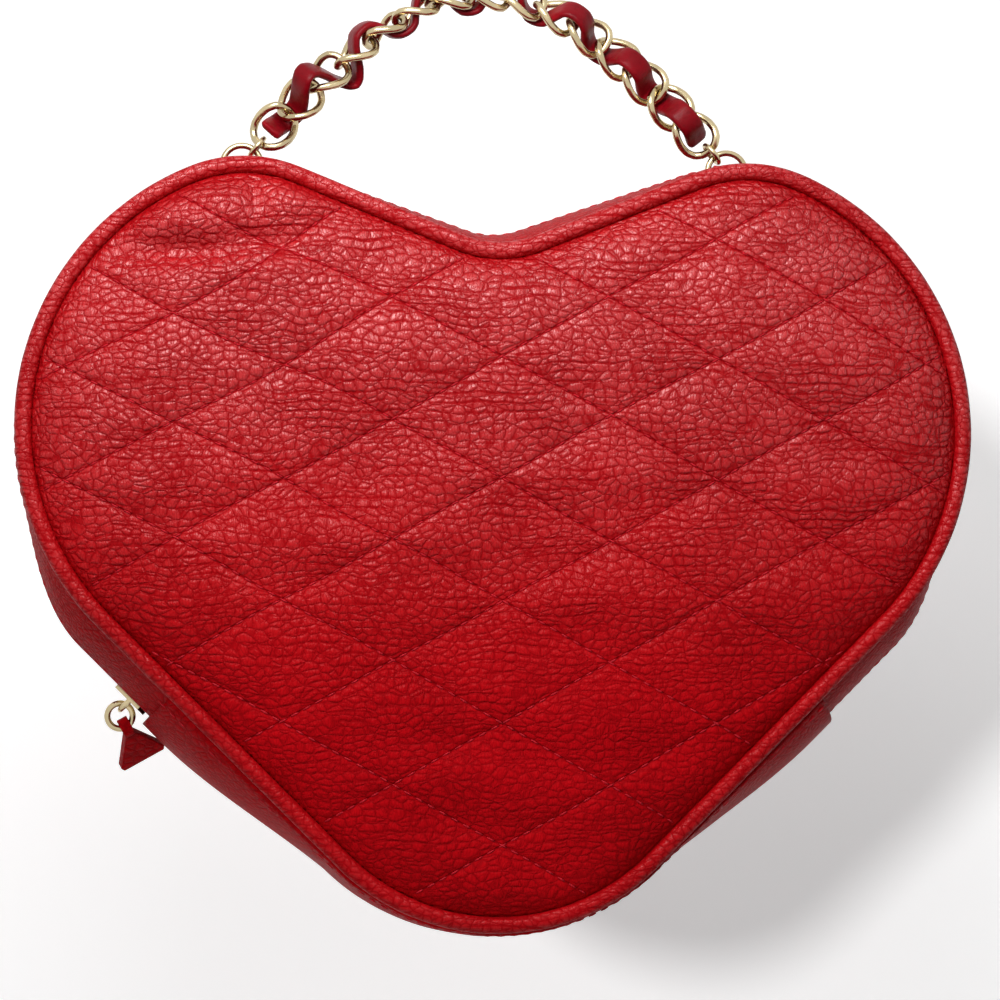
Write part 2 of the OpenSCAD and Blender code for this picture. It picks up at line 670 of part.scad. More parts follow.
// Lace: a flat strip that goes over one joint of the chain and under the next, slack at two of them
lace_rise = link_twist_rise + link_wire_r + lace_t / 2 + layer_gap;
slack_joints = [2, 3];
slack_rise = 3.5;
lace_rings = 80;
lace_from = 0.3 * pitch;
function slack(s) = max([for (k = slack_joints) 1 - smooth(abs(s / pitch - k) / 0.6)]);
roundness = 0.3;
function wave(s) = let(c = cos(180 * s / pitch)) c * sqrt((1 + roundness) / (c * c + roundness));
function lace_out(s) = (lace_rise + slack_rise * slack(s)) * wave(s);
function side_of(s) = let(h = heading(s), a = turn_at(s / pitch - 0.5))
    [-sin(h) * cos(a), -sin(a), cos(h) * cos(a)];
function out_of(s) = let(h = heading(s), a = turn_at(s / pitch - 0.5))
    [sin(h) * sin(a), -cos(a), -cos(h) * sin(a)];
function lace_mid(s) = let(p = strap_point(s)) [p[0], bar_y, p[1]] + lace_out(s) * out_of(s);
module lace() {
    edge = lace_t / 3;
    half_w = lace_w / 2;
    half_t = lace_t / 2;
    section = [[half_w, -half_t + edge], [half_w, half_t - edge], [half_w - edge, half_t],
        [-half_w + edge, half_t], [-half_w, half_t - edge], [-half_w, -half_t + edge],
        [-half_w + edge, -half_t], [half_w - edge, -half_t]];
    color("crimson") in_frame()
        skin([for (i = [0:lace_rings]) let(
            s = mix(lace_from, strap_l - lace_from, i / lace_rings),
            ahead = lace_mid(s + layer_gap) - lace_mid(s - layer_gap),
            side = side_of(s),
            up = cross(side, ahead) / norm(cross(side, ahead)))
            [for (q = section) lace_mid(s) + q[0] * side + q[1] * up]]);
}

back_panel();
back_lining();
back_piping();
rear_zip_strip();
rear_zip_tape();
rear_zip_teeth();
lower_gusset();
lower_gusset_lining();
front_panel_lower();
front_lining_lower();
front_piping_lower();
front_strip_lower();
front_tape_lower();
front_teeth_lower();
front_panel();
front_lining();
front_piping();
front_zip_strip();
front_zip_tape();
front_zip_teeth();
zip_top_stop();
zip_bottom_stop();
zip_slider();
pull_ring();
pull_tab();
strap_tab_left();
strap_tab_right();
d_ring_left();
d_ring_right();
jump_ring_left();
jump_ring_right();
chain_left();
chain_top();
chain_right();
lace();
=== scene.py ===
"""Looks of a quilted heart shaped purse: padded leather, piping, zip, chain strap and woven lace."""

import math

import bmesh
import bpy
from mathutils import Euler, Matrix, Vector, kdtree, noise


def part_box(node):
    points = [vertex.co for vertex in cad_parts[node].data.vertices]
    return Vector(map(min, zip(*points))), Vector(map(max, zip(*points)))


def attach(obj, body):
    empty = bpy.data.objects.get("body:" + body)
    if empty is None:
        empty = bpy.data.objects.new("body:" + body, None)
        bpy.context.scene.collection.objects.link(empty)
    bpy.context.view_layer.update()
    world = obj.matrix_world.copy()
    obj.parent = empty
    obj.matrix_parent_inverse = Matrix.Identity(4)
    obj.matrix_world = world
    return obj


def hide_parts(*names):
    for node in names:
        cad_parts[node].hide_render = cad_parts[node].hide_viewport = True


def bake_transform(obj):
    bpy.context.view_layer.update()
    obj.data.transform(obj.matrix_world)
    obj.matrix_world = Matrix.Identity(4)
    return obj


bl_info = {
    "name": "Heart Purse",
    "version": (1, 0, 0),
    "blender": (4, 5, 0),
    "location": "View3D > Sidebar > Heart Purse",
    "description": "Dresses a heart shaped purse in quilted leather, with its zip and chain strap",
    "category": "Object",
}

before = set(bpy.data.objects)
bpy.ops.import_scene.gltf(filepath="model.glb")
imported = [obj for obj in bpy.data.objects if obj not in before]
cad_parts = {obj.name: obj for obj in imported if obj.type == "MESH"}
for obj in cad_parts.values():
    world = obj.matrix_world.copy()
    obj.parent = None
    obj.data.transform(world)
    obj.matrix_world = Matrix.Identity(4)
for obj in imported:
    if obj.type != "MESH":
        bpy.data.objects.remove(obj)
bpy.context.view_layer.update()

# Everything below is worked out in millimetres and placed in metres
MM = 0.001

# The heart's outline, to the middle of its piping
LOBE_X = 50
SIDE_R = 68.5
TOP_R = 34.5
TOP_ANGLE = 66.5
FLANK_ANGLE = 22
NOTCH_R = 27
LOW_ANGLE = 45
TIP_R = 55
SWELL_FLANK = 6
SWELL_FLANK_END = 3.6
SWELL_LOBE = 2
SWELL_LOW = 8.5
SWELL_START = 15
SWELL_TIP = 1.2
ZIP_END_Z = -70.5
LAP_LENGTH = 7
SEAM_HALF = 25
SPOT_STEP = 1.2


def node_box(node):
    low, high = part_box(node)
    return low / MM, high / MM


PIPING_LOW, PIPING_HIGH = node_box("back_piping")
FRONT_LOW, _ = node_box("front_piping")
FLAP_LOW, _ = node_box("front_panel")
TOP_CENTRE = (
    LOBE_X + (SIDE_R - TOP_R) * math.cos(math.radians(TOP_ANGLE)),
    (SIDE_R - TOP_R) * math.sin(math.radians(TOP_ANGLE)),
)
PIPING_CAD_R = (PIPING_HIGH.y - PIPING_LOW.y) / 2
MIDDLE_Y = (PIPING_HIGH.y + FRONT_LOW.y) / 2
LOBE_Z = PIPING_HIGH.z - PIPING_CAD_R - TOP_CENTRE[1] - TOP_R
PIPING_Y = PIPING_HIGH.y - PIPING_CAD_R - MIDDLE_Y
FOLD_Z = FLAP_LOW.z - LOBE_Z
PANEL_CROWN = MIDDLE_Y - SEAM_HALF - FLAP_LOW.y


def linear(value):
    """One part of a colour as a screen shows it, from 0 to 255, made linear."""
    share = value / 255
    if value > 10:
        return ((share + 0.055) / 1.055) ** 2.4
    return share / 12.92


def srgb(red, green, blue):
    return linear(red), linear(green), linear(blue)


def length_prop(name, description, default):
    return bpy.props.FloatProperty(
        name=name, description=description, default=default * MM, unit="LENGTH", min=0
    )


def colour_prop(name, description, default):
    return bpy.props.FloatVectorProperty(
        name=name, description=description, default=default, subtype="COLOR", size=3, min=0, max=1
    )


class PurseSizes(bpy.types.PropertyGroup):
    """Sizes that a user would change"""

    quilt_column: length_prop("Quilt column", "Sideways distance between crossings of the quilting", 27.2)
    quilt_row: length_prop("Quilt row", "Upward distance between crossings of the quilting", 15.2)
    quilt_groove: length_prop("Quilt groove", "Depth of a quilted line", 0.3)
    quilt_pillow: length_prop("Quilt pillow", "How far the padding rises between the lines", 0.8)
    panel_grid: length_prop("Panel grid", "Distance between the points of a quilted panel", 1.1)
    piping_radius: length_prop("Piping radius", "Radius of the leather covered cord", 2.15)
    stitch_length: length_prop("Stitch length", "Length of one stitch", 2.6)
    stitch_pitch: length_prop("Stitch pitch", "Distance from one stitch to the next", 3.4)
    thread_radius: length_prop("Thread radius", "Half the thickness of the sewing thread", 0.24)
    grain: length_prop("Leather grain", "Width of one pebble of the leather", 2.3)


class PurseColours(bpy.types.PropertyGroup):
    """Colours that a user would change"""

    leather: colour_prop("Leather", "Pebbled leather", srgb(169, 8, 16))
    # Painted shade in the creases between the pebbles and in the sewn lines
    leather_crease_shade: colour_prop("Painted crease shade", "Creases between the pebbles", srgb(132, 5, 12))
    lace: colour_prop("Lace", "Leather lace in the chain", srgb(132, 8, 21))
    thread: colour_prop("Thread", "Sewing thread", srgb(188, 30, 42))
    lining: colour_prop("Lining", "Lining cloth", srgb(58, 48, 50))
    tape: colour_prop("Zip tape", "Woven zip tape", srgb(150, 14, 28))
    tooth: colour_prop("Zip teeth", "Moulded teeth", srgb(176, 18, 34))
    gold: colour_prop("Metal", "Pale gold plating", srgb(208, 190, 150))
    floor: colour_prop("Floor", "Floor and wall behind", (0.94, 0.94, 0.94))


def sizes():
    return bpy.context.scene.purse_sizes


def colours():
    return bpy.context.scene.purse_colours


# Numbers


def mix(a, b, t):
    return a + (b - a) * t


def smooth(t):
    t = min(1, max(0, t))
    return t * t * (3 - 2 * t)


# Each seed reads the noise at another place, this far on
SEED_STEP = (17.3, 5.1, -9.7)


def wander(x, y, z, scale, seed):
    """Smooth noise from about -1 to 1, with waves about "scale" millimetres long."""
    return noise.noise(Vector([v / scale + seed * step for v, step in zip((x, y, z), SEED_STEP)]))


# Outline of the heart: a spot is (x, z, outward x, outward z, swell of the gusset)


def arc(centre, radius, start, end, swell_start, swell_end):
    count = max(3, round(abs(math.radians(end - start)) * radius / SPOT_STEP))
    spots = []
    for i in range(count + 1):
        a = math.radians(mix(start, end, i / count))
        spots.append((
            centre[0] + radius * math.cos(a),
            centre[1] + radius * math.sin(a),
            math.cos(a),
            math.sin(a),
            mix(swell_start, swell_end, smooth(i / count)),
        ))
    return spots


LOW_OUT = (math.cos(math.radians(LOW_ANGLE)), -math.sin(math.radians(LOW_ANGLE)))
LOW_REACH = LOBE_X * LOW_OUT[0] + SIDE_R
TIP_Z = (LOW_REACH - TIP_R) / LOW_OUT[1]
TIP_START_Z = TIP_Z + TIP_R * LOW_OUT[1]
TIP_START_SHARE = 0.8
TIP_START_SWELL = mix(SWELL_LOW, SWELL_TIP, smooth(TIP_START_SHARE))


def low_spot(z, swell):
    return ((LOW_REACH - z * LOW_OUT[1]) / LOW_OUT[0], z, LOW_OUT[0], LOW_OUT[1], swell)


def low_line(z_start, z_end, swell_at):
    count = max(2, round((z_start - z_end) / LOW_OUT[0] / SPOT_STEP))
    return [low_spot(mix(z_start, z_end, i / count), swell_at(i / count)) for i in range(count + 1)]


def tip_swell(t):
    """The swell from the zip's end towards the tip."""
    return mix(SWELL_LOW, SWELL_TIP, smooth(t * TIP_START_SHARE))


def half_outline():
    """The right half, from the notch down to the tip."""
    flank_out = (-math.sin(math.radians(FLANK_ANGLE)), math.cos(math.radians(FLANK_ANGLE)))
    reach = TOP_CENTRE[0] * flank_out[0] + TOP_CENTRE[1] * flank_out[1] + TOP_R
    notch = (0, (reach + NOTCH_R) / flank_out[1])
    turned = arc(notch, NOTCH_R, -90, FLANK_ANGLE - 90, SWELL_FLANK, SWELL_FLANK)
    run = [(x, z, -nx, -nz, swell) for x, z, nx, nz, swell in turned]
    top_start = arc(TOP_CENTRE, TOP_R, 90 + FLANK_ANGLE, 90, SWELL_FLANK_END, SWELL_LOBE)
    end, start = run[-1], top_start[0]
    count = round(math.hypot(start[0] - end[0], start[1] - end[1]) / SPOT_STEP)
    run += [tuple(mix(p, q, i / count) for p, q in zip(end, start)) for i in range(1, count)]
    run += top_start
    run += arc(TOP_CENTRE, TOP_R, 90, TOP_ANGLE, SWELL_LOBE, SWELL_LOBE)[1:]
    run += arc((LOBE_X, 0), SIDE_R, TOP_ANGLE, -SWELL_START, SWELL_LOBE, SWELL_LOBE)[1:]
    run += arc((LOBE_X, 0), SIDE_R, -SWELL_START, -LOW_ANGLE, SWELL_LOBE, SWELL_LOW)[1:]
    run += low_line(SIDE_R * LOW_OUT[1], ZIP_END_Z, lambda t: SWELL_LOW)[1:]
    run += low_line(ZIP_END_Z, TIP_START_Z, tip_swell)[1:]
    run += arc((0, TIP_Z), TIP_R, -LOW_ANGLE, -90, TIP_START_SWELL, SWELL_TIP)[1:]
    return run


def mirrored(run):
    return [(-x, z, -nx, nz, swell) for x, z, nx, nz, swell in reversed(run)]


HALF = half_outline()
# The first spot below the middle of the lobes
LOW_SIDE = next(i for i, s in enumerate(HALF) if s[1] < 0)


def upper_run(z_end):
    """From the left lower side at z_end, over both lobes, to the right lower side."""
    part = [s for i, s in enumerate(HALF) if i < LOW_SIDE or s[1] >= z_end]
    return mirrored(part) + part[1:]


def tip_run(z_start):
    """From the right lower side at z_start, under the tip, to the left."""
    part = [s for i, s in enumerate(HALF) if i >= LOW_SIDE and s[1] <= z_start]
    return part + mirrored(part)[1:]


OUTLINE = HALF[:-1] + mirrored(HALF)[:-1]
NEAREST = kdtree.KDTree(len(OUTLINE))
for spot_index, spot in enumerate(OUTLINE):
    NEAREST.insert((spot[0], spot[1], 0), spot_index)
NEAREST.balance()


def inset_at(x, z):
    """How far inside the outline a point lies, and the nearest spot of the outline."""
    _, index, _ = NEAREST.find((x, z, 0))
    s = OUTLINE[index]
    return (s[0] - x) * s[2] + (s[1] - z) * s[3], s


def swell_at(swell, y):
    return swell * (1 - (y / SEAM_HALF) ** 2)


def to_frame(x, y, z):
    """From the heart's own middle, in millimetres, to the shared frame, in metres."""
    return Vector((x, y + MIDDLE_Y, z + LOBE_Z)) * MM


# Pieces


def linked(name, data):
    made = bpy.data.objects.new(name, data)
    bpy.context.scene.collection.objects.link(made)
    return made


def object_from(name, bm, finish):
    """An object with this mesh and the material named finish."""
    mesh = bpy.data.meshes.new(name)
    bm.to_mesh(mesh)
    bm.free()
    mesh.materials.append(material(finish))
    return linked(name, mesh)


def piece_from(name, bm, finish, smooth_shade=True):
    piece = object_from(name, bm, finish)
    for polygon in piece.data.polygons:
        polygon.use_smooth = smooth_shade
    return piece


# Distances below and above the line on which the front folds open
BEND_BELOW = 2
BEND_ABOVE = 6


def bend_at_fold(piece):
    """The piece crosses the line on which the front folds open; only its place is baked into its mesh."""
    start = to_frame(0, 0, FOLD_Z - BEND_BELOW)
    end = to_frame(0, 0, FOLD_Z + BEND_ABOVE)
    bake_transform(piece)


def follow(piece, back):
    """A piece of the back rides on the bag; one of the front only has its place baked into its mesh."""
    if back:
        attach(piece, "bag")
    else:
        bend_at_fold(piece)


def stand_for(piece, back, *nodes):
    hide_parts(*nodes)
    follow(piece, back)


def take_place(piece, node, body):
    """The piece takes the place of one CAD node, and rides on the node's body."""
    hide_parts(node)
    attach(piece, body)


# Points of a grid that are nearer than this, in metres, are one point
SAME_POINT = 1e-7
# The same for the points of a CAD solid
SAME_CAD_POINT = 1e-6


def wrapped(along, around, place, ring_shut=False):
    """A grid bent into a tube: place(i, j) gives a point, and its run for the UV map."""
    bm = bmesh.new()
    bmesh.ops.create_grid(bm, x_segments=along, y_segments=around, size=0.5)
    uv = bm.loops.layers.uv.new("run")
    at = {}
    for v in bm.verts:
        i, j = round((v.co.x + 0.5) * along), round((v.co.y + 0.5) * around)
        point, run = place(i, j)
        at[v] = run
        v.co = point
    for face in bm.faces:
        for loop in face.loops:
            loop[uv].uv = at[loop.vert]
    bmesh.ops.remove_doubles(bm, verts=bm.verts, dist=SAME_POINT)
    if not ring_shut:
        open_edges = [e for e in bm.edges if e.is_boundary]
        bmesh.ops.holes_fill(bm, edges=open_edges, sides=0)
    bmesh.ops.recalc_face_normals(bm, faces=bm.faces)
    return bm


def run_lengths(run):
    lengths = [0]
    for a, b in zip(run, run[1:]):
        lengths.append(lengths[-1] + math.hypot(b[0] - a[0], b[1] - a[1]))
    return lengths


BAND_STEP = 2.2
# Places across the rolled edge of a band, as shares of the edge's width
ROLLED = (0, 0.12, 0.35, 0.65, 1)
PUCKER_WAVE = 9
PUCKER_SEED = 3
# The leather round the piping's cord is uneven by this share of its radius, in waves this long
CORD_UNEVEN = 0.025
CORD_WAVE = 6
CORD_SEED = 5
CORD_SIDES = 16


def edge_steps(y0, y1, edge):
    """Places across a band: close together in its rolled edges, even between them."""
    count = max(2, round((abs(y1 - y0) - 2 * edge) / BAND_STEP))
    side = 1 if y1 > y0 else -1
    first = [y0 + side * edge * r for r in ROLLED]
    middle = [mix(y0 + side * edge, y1 - side * edge, i / count) for i in range(1, count)]
    return first + middle + [y1 - side * edge * r for r in reversed(ROLLED)]


def band(run, y0, y1, lift, thick, pucker=0.0):
    """A strip of leather or cloth that runs along the gusset, with rolled edges."""
    ys = edge_steps(y0, y1, min(thick, abs(y1 - y0) / 4))
    lengths = run_lengths(run)
    count = len(ys)

    def place(i, j):
        x, z, nx, nz, swell = run[i]
        k = j % (2 * count)
        y = ys[k] if k < count else ys[2 * count - 1 - k]
        from_edge = min(abs(y - y0), abs(y1 - y)) / (thick / 2)
        roll = math.sqrt(max(0, 1 - (1 - min(1, from_edge)) ** 2)) * thick / 2
        wave = pucker * wander(x, y, z, PUCKER_WAVE, PUCKER_SEED) * smooth(abs(y) / SEAM_HALF)
        out = swell_at(swell, y) + lift - thick / 2 + (roll if k < count else -roll) + wave
        return to_frame(x + nx * out, y, z + nz * out), (lengths[i] * MM, y * MM)

    return wrapped(len(run) - 1, 2 * count, place)


def ring_cord(run, y_middle, radius):
    """A cord that runs once round the seam."""
    lengths = run_lengths(run + run[:1])

    def place(i, j):
        x, z, nx, nz, _ = run[i % len(run)]
        a = 2 * math.pi * j / CORD_SIDES
        r = radius * (1 + CORD_UNEVEN * wander(x, 0, z, CORD_WAVE, CORD_SEED))
        out = r * math.cos(a)
        point = to_frame(x + nx * out, y_middle + r * math.sin(a), z + nz * out)
        return point, (lengths[i] * MM, a / (2 * math.pi))

    return wrapped(len(run), CORD_SIDES, place, ring_shut=True)


def add_stitch(bm, middle, direction, normal, length, radius):
    """One stitch, a drawn-out ball that lies on the leather. Arguments in the shared frame, in metres."""
    direction = direction.normalized()
    side = normal.cross(direction).normalized()
    up = direction.cross(side)
    turn = Matrix((direction, side, up)).transposed().to_4x4()
    stretch = Matrix.Diagonal((length / 2, radius, radius, 1))
    where = Matrix.Translation(middle) @ turn @ stretch
    bmesh.ops.create_icosphere(bm, subdivisions=1, radius=1, matrix=where)


def stitch_row(bm, points, normals):
    """Stitches at even distances along a polyline, in metres."""
    s = sizes()
    carried = s.stitch_pitch / 2
    for p, q, n in zip(points, points[1:], normals):
        span = (q - p).length
        while carried < span:
            add_stitch(bm, p.lerp(q, carried / span), q - p, n, s.stitch_length, s.thread_radius)
            carried += s.stitch_pitch
        carried -= span


def cad_copy(node):
    """A copy of a CAD solid, with its loose triangles joined."""
    bm = bmesh.new()
    bm.from_mesh(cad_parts[node].data)
    bmesh.ops.remove_doubles(bm, verts=bm.verts, dist=SAME_CAD_POINT)
    return bm


ROUNDINGS = 2


def smoothed_copy(node, swollen):
    """A CAD solid made into four-sided faces, rounded, and swollen again to its size."""
    bm = cad_copy(node)
    bmesh.ops.join_triangles(
        bm, faces=bm.faces, cmp_seam=False, cmp_sharp=False, cmp_uvs=False,
        cmp_vcols=False, cmp_materials=False, angle_face_threshold=0.9, angle_shape_threshold=3.1,
    )
    for _ in range(ROUNDINGS):
        bmesh.ops.subdivide_edges(bm, edges=bm.edges, cuts=1, use_grid_fill=True)
        bmesh.ops.smooth_vert(
            bm, verts=bm.verts, factor=0.5, use_axis_x=True, use_axis_y=True, use_axis_z=True
        )
    bm.normal_update()
    for v in bm.verts:
        v.co += v.normal * swollen * MM
    return bm


# Faces that turn by less than the first angle are joined, and edges over the second are rounded
FLAT_ANGLE = 0.03
SHARP_ANGLE = 0.5


def bevelled_copy(node, width, segments=2):
    """A CAD solid with its flat faces joined and its sharp edges rounded."""
    bm = cad_copy(node)
    bmesh.ops.dissolve_limit(bm, angle_limit=FLAT_ANGLE, verts=bm.verts, edges=bm.edges)
    edges = [e for e in bm.edges if len(e.link_faces) == 2 and e.calc_face_angle(0) > SHARP_ANGLE]
    bmesh.ops.bevel(
        bm, geom=edges, offset=width * MM, offset_type="OFFSET", affect="EDGES",
        segments=segments, profile=0.5, material=-1, clamp_overlap=True,
    )
    return bm


# Materials


class Wire:
    """A node's output. Sums with it add Math nodes."""

    def __init__(self, graph, socket):
        self.graph = graph
        self.socket = socket

    def sum(self, operation, *values):
        return self.graph.add("ShaderNodeMath", {"operation": operation}, dict(enumerate(values)))

    def __add__(self, other):
        return self.sum("ADD", self, other)

    def __radd__(self, other):
        return self.sum("ADD", other, self)

    def __sub__(self, other):
        return self.sum("SUBTRACT", self, other)

    def __rsub__(self, other):
        return self.sum("SUBTRACT", other, self)

    def __mul__(self, other):
        return self.sum("MULTIPLY", self, other)

    def __rmul__(self, other):
        return self.sum("MULTIPLY", other, self)

    def __truediv__(self, other):
        return self.sum("DIVIDE", self, other)

    def __pow__(self, other):
        return self.sum("POWER", self, other)


class Graph:
    """The nodes of a material or of the world."""

    def __init__(self, owner):
        owner.use_nodes = True
        self.owner = owner
        self.tree = owner.node_tree

    def fill(self, socket, value):
        """Links a wire to the socket, or sets the socket's value."""
        if isinstance(value, Wire):
            self.tree.links.new(value.socket, socket)
        else:
            socket.default_value = value

    def add(self, kind, settings=None, inputs=None, output=0):
        """A node: its settings first, then the values or links of its sockets."""
        node = self.tree.nodes.new(kind)
        for key, value in (settings or {}).items():
            setattr(node, key, value)
        for key, value in (inputs or {}).items():
            self.fill(node.inputs[key], value)
        return None if output is None else Wire(self, node.outputs[output])

    def stretched(self, where, stretch):
        return self.add("ShaderNodeMapping", None, {"Vector": where, "Scale": stretch})

    def place(self, stretch=(1, 1, 1)):
        """A point of the piece, in the shared frame."""
        return self.stretched(self.add("ShaderNodeTexCoord", output="Object"), stretch)

    def run(self, stretch):
        """How far along and round a cord or band a point lies."""
        return self.stretched(self.add("ShaderNodeUVMap", {"uv_map": "run"}), stretch)

    def upward(self, where):
        return self.add("ShaderNodeSeparateXYZ", None, {0: where}, output="Z")

    def attribute(self, name):
        return self.add("ShaderNodeAttribute", {"attribute_name": name}, output="Fac")

    def noise(self, where, scale, detail=2.0, roughness=0.5):
        return self.add(
            "ShaderNodeTexNoise", None,
            {"Vector": where, "Scale": scale, "Detail": detail, "Roughness": roughness},
        )

    def cell_edge(self, where, scale, uneven):
        """How far inside its cell a point is, where cells lie side by side like pebbles."""
        return self.add(
            "ShaderNodeTexVoronoi", {"feature": "DISTANCE_TO_EDGE"},
            {"Vector": where, "Scale": scale, "Randomness": uneven}, output="Distance",
        )

    def ranged(self, value, low, high, to_low=0.0, to_high=1.0):
        return self.add(
            "ShaderNodeMapRange", {"interpolation_type": "SMOOTHSTEP"},
            {"Value": value, "From Min": low, "From Max": high, "To Min": to_low, "To Max": to_high},
        )

    def blend(self, share, low, high):
        """Mixes two colours."""
        return self.add(
            "ShaderNodeMix", {"data_type": "RGBA"},
            {"Factor": share, "A": low, "B": high}, output="Result",
        )

    def shades(self, share, colour, dark, light):
        """Mixes a darker and a lighter shade of one colour."""
        return self.blend(share, rgba(shade(colour, dark)), rgba(shade(colour, light)))

    def bump(self, height, distance):
        return self.add("ShaderNodeBump", None, {"Height": height, "Distance": distance, "Strength": 1.0})

    def shader(self, **sockets):
        inputs = {}
        for key, value in sockets.items():
            inputs[key.replace("_", " ").title().replace("Ior", "IOR")] = value
        return self.add("ShaderNodeBsdfPrincipled", None, inputs)

    def mixed(self, share, first, second):
        """Mixes two shaders."""
        return self.add("ShaderNodeMixShader", None, {0: share, 1: first, 2: second})

    def finish(self, shader):
        """Shows this shader, and gives the material."""
        self.add("ShaderNodeOutputMaterial", None, {"Surface": shader}, output=None)
        return self.owner


def new_graph(name):
    g = Graph(bpy.data.materials.new(name))
    g.tree.nodes.clear()
    return g


def rgba(colour):
    return (*colour, 1.0)


def shade(colour, factor):
    return tuple(min(1, c * factor) for c in colour)


LEATHER_GLOSS = 0.02
# Gloss of the shader that is mixed in to paint sheen
PAINTED_SHEEN_GLOSS = 1.0
# Heights on the heart between which the painted sheen grows towards the top
PAINTED_SHEEN_LOW_Z = -80
PAINTED_SHEEN_HIGH_Z = 47
# How far the cells are pushed about, in metres
CELL_DRIFT = 0.005
# Small wrinkles to one pebble, and a row's height as a share of a pebble's width
WRINKLES = 2.3
ROW_SHARE = 1.05
# Half the width of a sewn line, and of the dip beside it, in millimetres
SEAM_LINE = 0.45
SEAM_DIP = 1.8


def pebbles(g, here, cell):
    """Rows of raised cells: their edges, their domes, how the rows overlap, and small wrinkles."""
    drift = g.add(
        "ShaderNodeTexNoise", None, {"Vector": here, "Scale": 70.0, "Detail": 2.0}, output="Color"
    )
    pushed = g.add(
        "ShaderNodeVectorMath", {"operation": "MULTIPLY_ADD"}, {0: drift, 1: (CELL_DRIFT,) * 3, 2: here}
    )
    edge = g.cell_edge(g.stretched(pushed, (0.8, 1, 1.15)), 1 / cell, 0.85)
    small_edge = g.cell_edge(g.stretched(pushed, (1.3, 1, 0.55)), WRINKLES / cell, 1.0)
    rows = g.upward(pushed) / (cell * ROW_SHARE)
    row = rows.sum("FRACT", rows)
    row_gap = g.ranged(row, 0.0, 0.3) * g.ranged(1 - row, 0.0, 0.12)
    strong = g.ranged(g.noise(g.place((1, 1, 2)), 55.0), 0.42, 0.66)
    dome = 1 - (1 - g.ranged(edge, -0.3, 0.6)) ** 2.0
    scale = 1 - (1 - row_gap) * strong
    wrinkle = g.ranged(small_edge, 0.0, 0.16)
    return edge, dome, scale, wrinkle


def leather_colour(g, here, broad, crease, raised):
    """Red with worn and blotched patches, a painted highlight on the raised cells and painted shade in the
    creases.
    """
    c = colours()
    patches = g.noise(here, 11.0)
    worn = g.shades(g.ranged(patches, 0.38, 0.66), c.leather, 0.86, 1)
    lively = g.blend(g.ranged(broad, 0.35, 0.7), worn, rgba(shade(c.leather, 1.12)))
    # Painted highlight: the raised cells are paler
    lively = g.blend(g.ranged(raised, 0.4, 1.0) * 0.7, lively, rgba(shade(c.leather, 1.3)))
    # Painted shade in the creases
    return g.blend(crease * 0.4 + 0.6, rgba(c.leather_crease_shade), lively)


def sewn_lines(g):
    """Where a quilted line runs, and the wider dip that its thread pulls into the leather."""
    s = sizes()
    per_mm = math.hypot(1 / s.quilt_column, 1 / s.quilt_row) * MM / 2
    place = g.add("ShaderNodeUVMap", {"uv_map": "quilt"})
    lines = g.add("ShaderNodeSeparateXYZ", None, {0: place}, output="X")
    other = g.add("ShaderNodeSeparateXYZ", None, {0: place}, output="Y")
    nearest = lines.sum("MINIMUM", lines.sum("PINGPONG", lines, 0.5), other.sum("PINGPONG", other, 0.5))
    near = nearest / per_mm
    sewn = g.attribute("sewn")
    line = (1 - g.ranged(near, 0.0, SEAM_LINE)) * sewn
    dip = (1 - g.ranged(near, 0.0, SEAM_DIP)) * sewn
    return line, dip


def pebbled_leather(name, grain_share=1.0, depth=0.75, painted_sheen_range=(0.0, 1.0), sewn=False, across=False):
    """Pebbled leather: rows of raised cells with thin creases, worn and blotched colour, painted highlights
    and painted shade.

    Sheen is painted by mixing in a glossier shader: most on the raised cells and towards the top of the
    bag, less in the creases, none on sewn lines.
    """
    g = new_graph(name)
    here = g.place()
    edge, dome, scale, wrinkle = pebbles(g, here, sizes().grain * grain_share)
    fine = g.noise(here, 1500.0, 3.0)
    broad = g.noise(here, 26.0, 3.0)
    height = dome * 0.7 + scale * 0.22 + wrinkle * 0.1 + fine * 0.04
    if across:
        creases = g.noise(g.run((1, 0.004, 1)), 900.0)
        height = height * 0.7 + creases * 0.4
    raised = dome * scale
    crease = g.ranged(edge, 0.0, 0.1) * (1 - (1 - scale) * 0.6) * (wrinkle * 0.55 + 0.45)
    colour = leather_colour(g, here, broad, crease, raised)
    roughness = g.ranged(broad, 0.3, 0.7, 0.4, 0.5)
    # Painted sheen that grows from low on the heart to its top
    painted_sheen_by_height = g.ranged(g.upward(here), to_frame(0, 0, PAINTED_SHEEN_LOW_Z).z, to_frame(0, 0, PAINTED_SHEEN_HIGH_Z).z, *painted_sheen_range)
    # Painted sheen, most on the raised cells and least in the creases, varying a little at random
    painted_sheen_share = g.ranged(raised, 0.3, 0.9, 0.25, 1.0) * (crease * 0.6 + 0.4) * painted_sheen_by_height
    painted_sheen_share = painted_sheen_share * g.ranged(broad, 0.3, 0.7, 0.7, 1.0)
    if sewn:
        line, dip = sewn_lines(g)
        height = height * (1 - dip * 0.4) - line * 0.3 - dip * 0.15
        # Painted shade in the groove of the sewn line
        colour = g.blend(line * 0.6, colour, rgba(shade(colours().leather_crease_shade, 0.8)))
        roughness = roughness + line * 0.2
        painted_sheen_share = painted_sheen_share * (1 - line)
    normal = g.bump(height, depth * MM)
    bare = g.shader(base_color=colour, roughness=roughness, normal=normal, specular_IOR_level=LEATHER_GLOSS)
    painted_sheen_shader = g.shader(
        base_color=colour, roughness=roughness - 0.1, normal=normal, specular_IOR_level=PAINTED_SHEEN_GLOSS
    )
    return g.finish(g.mixed(painted_sheen_share, bare, painted_sheen_shader))


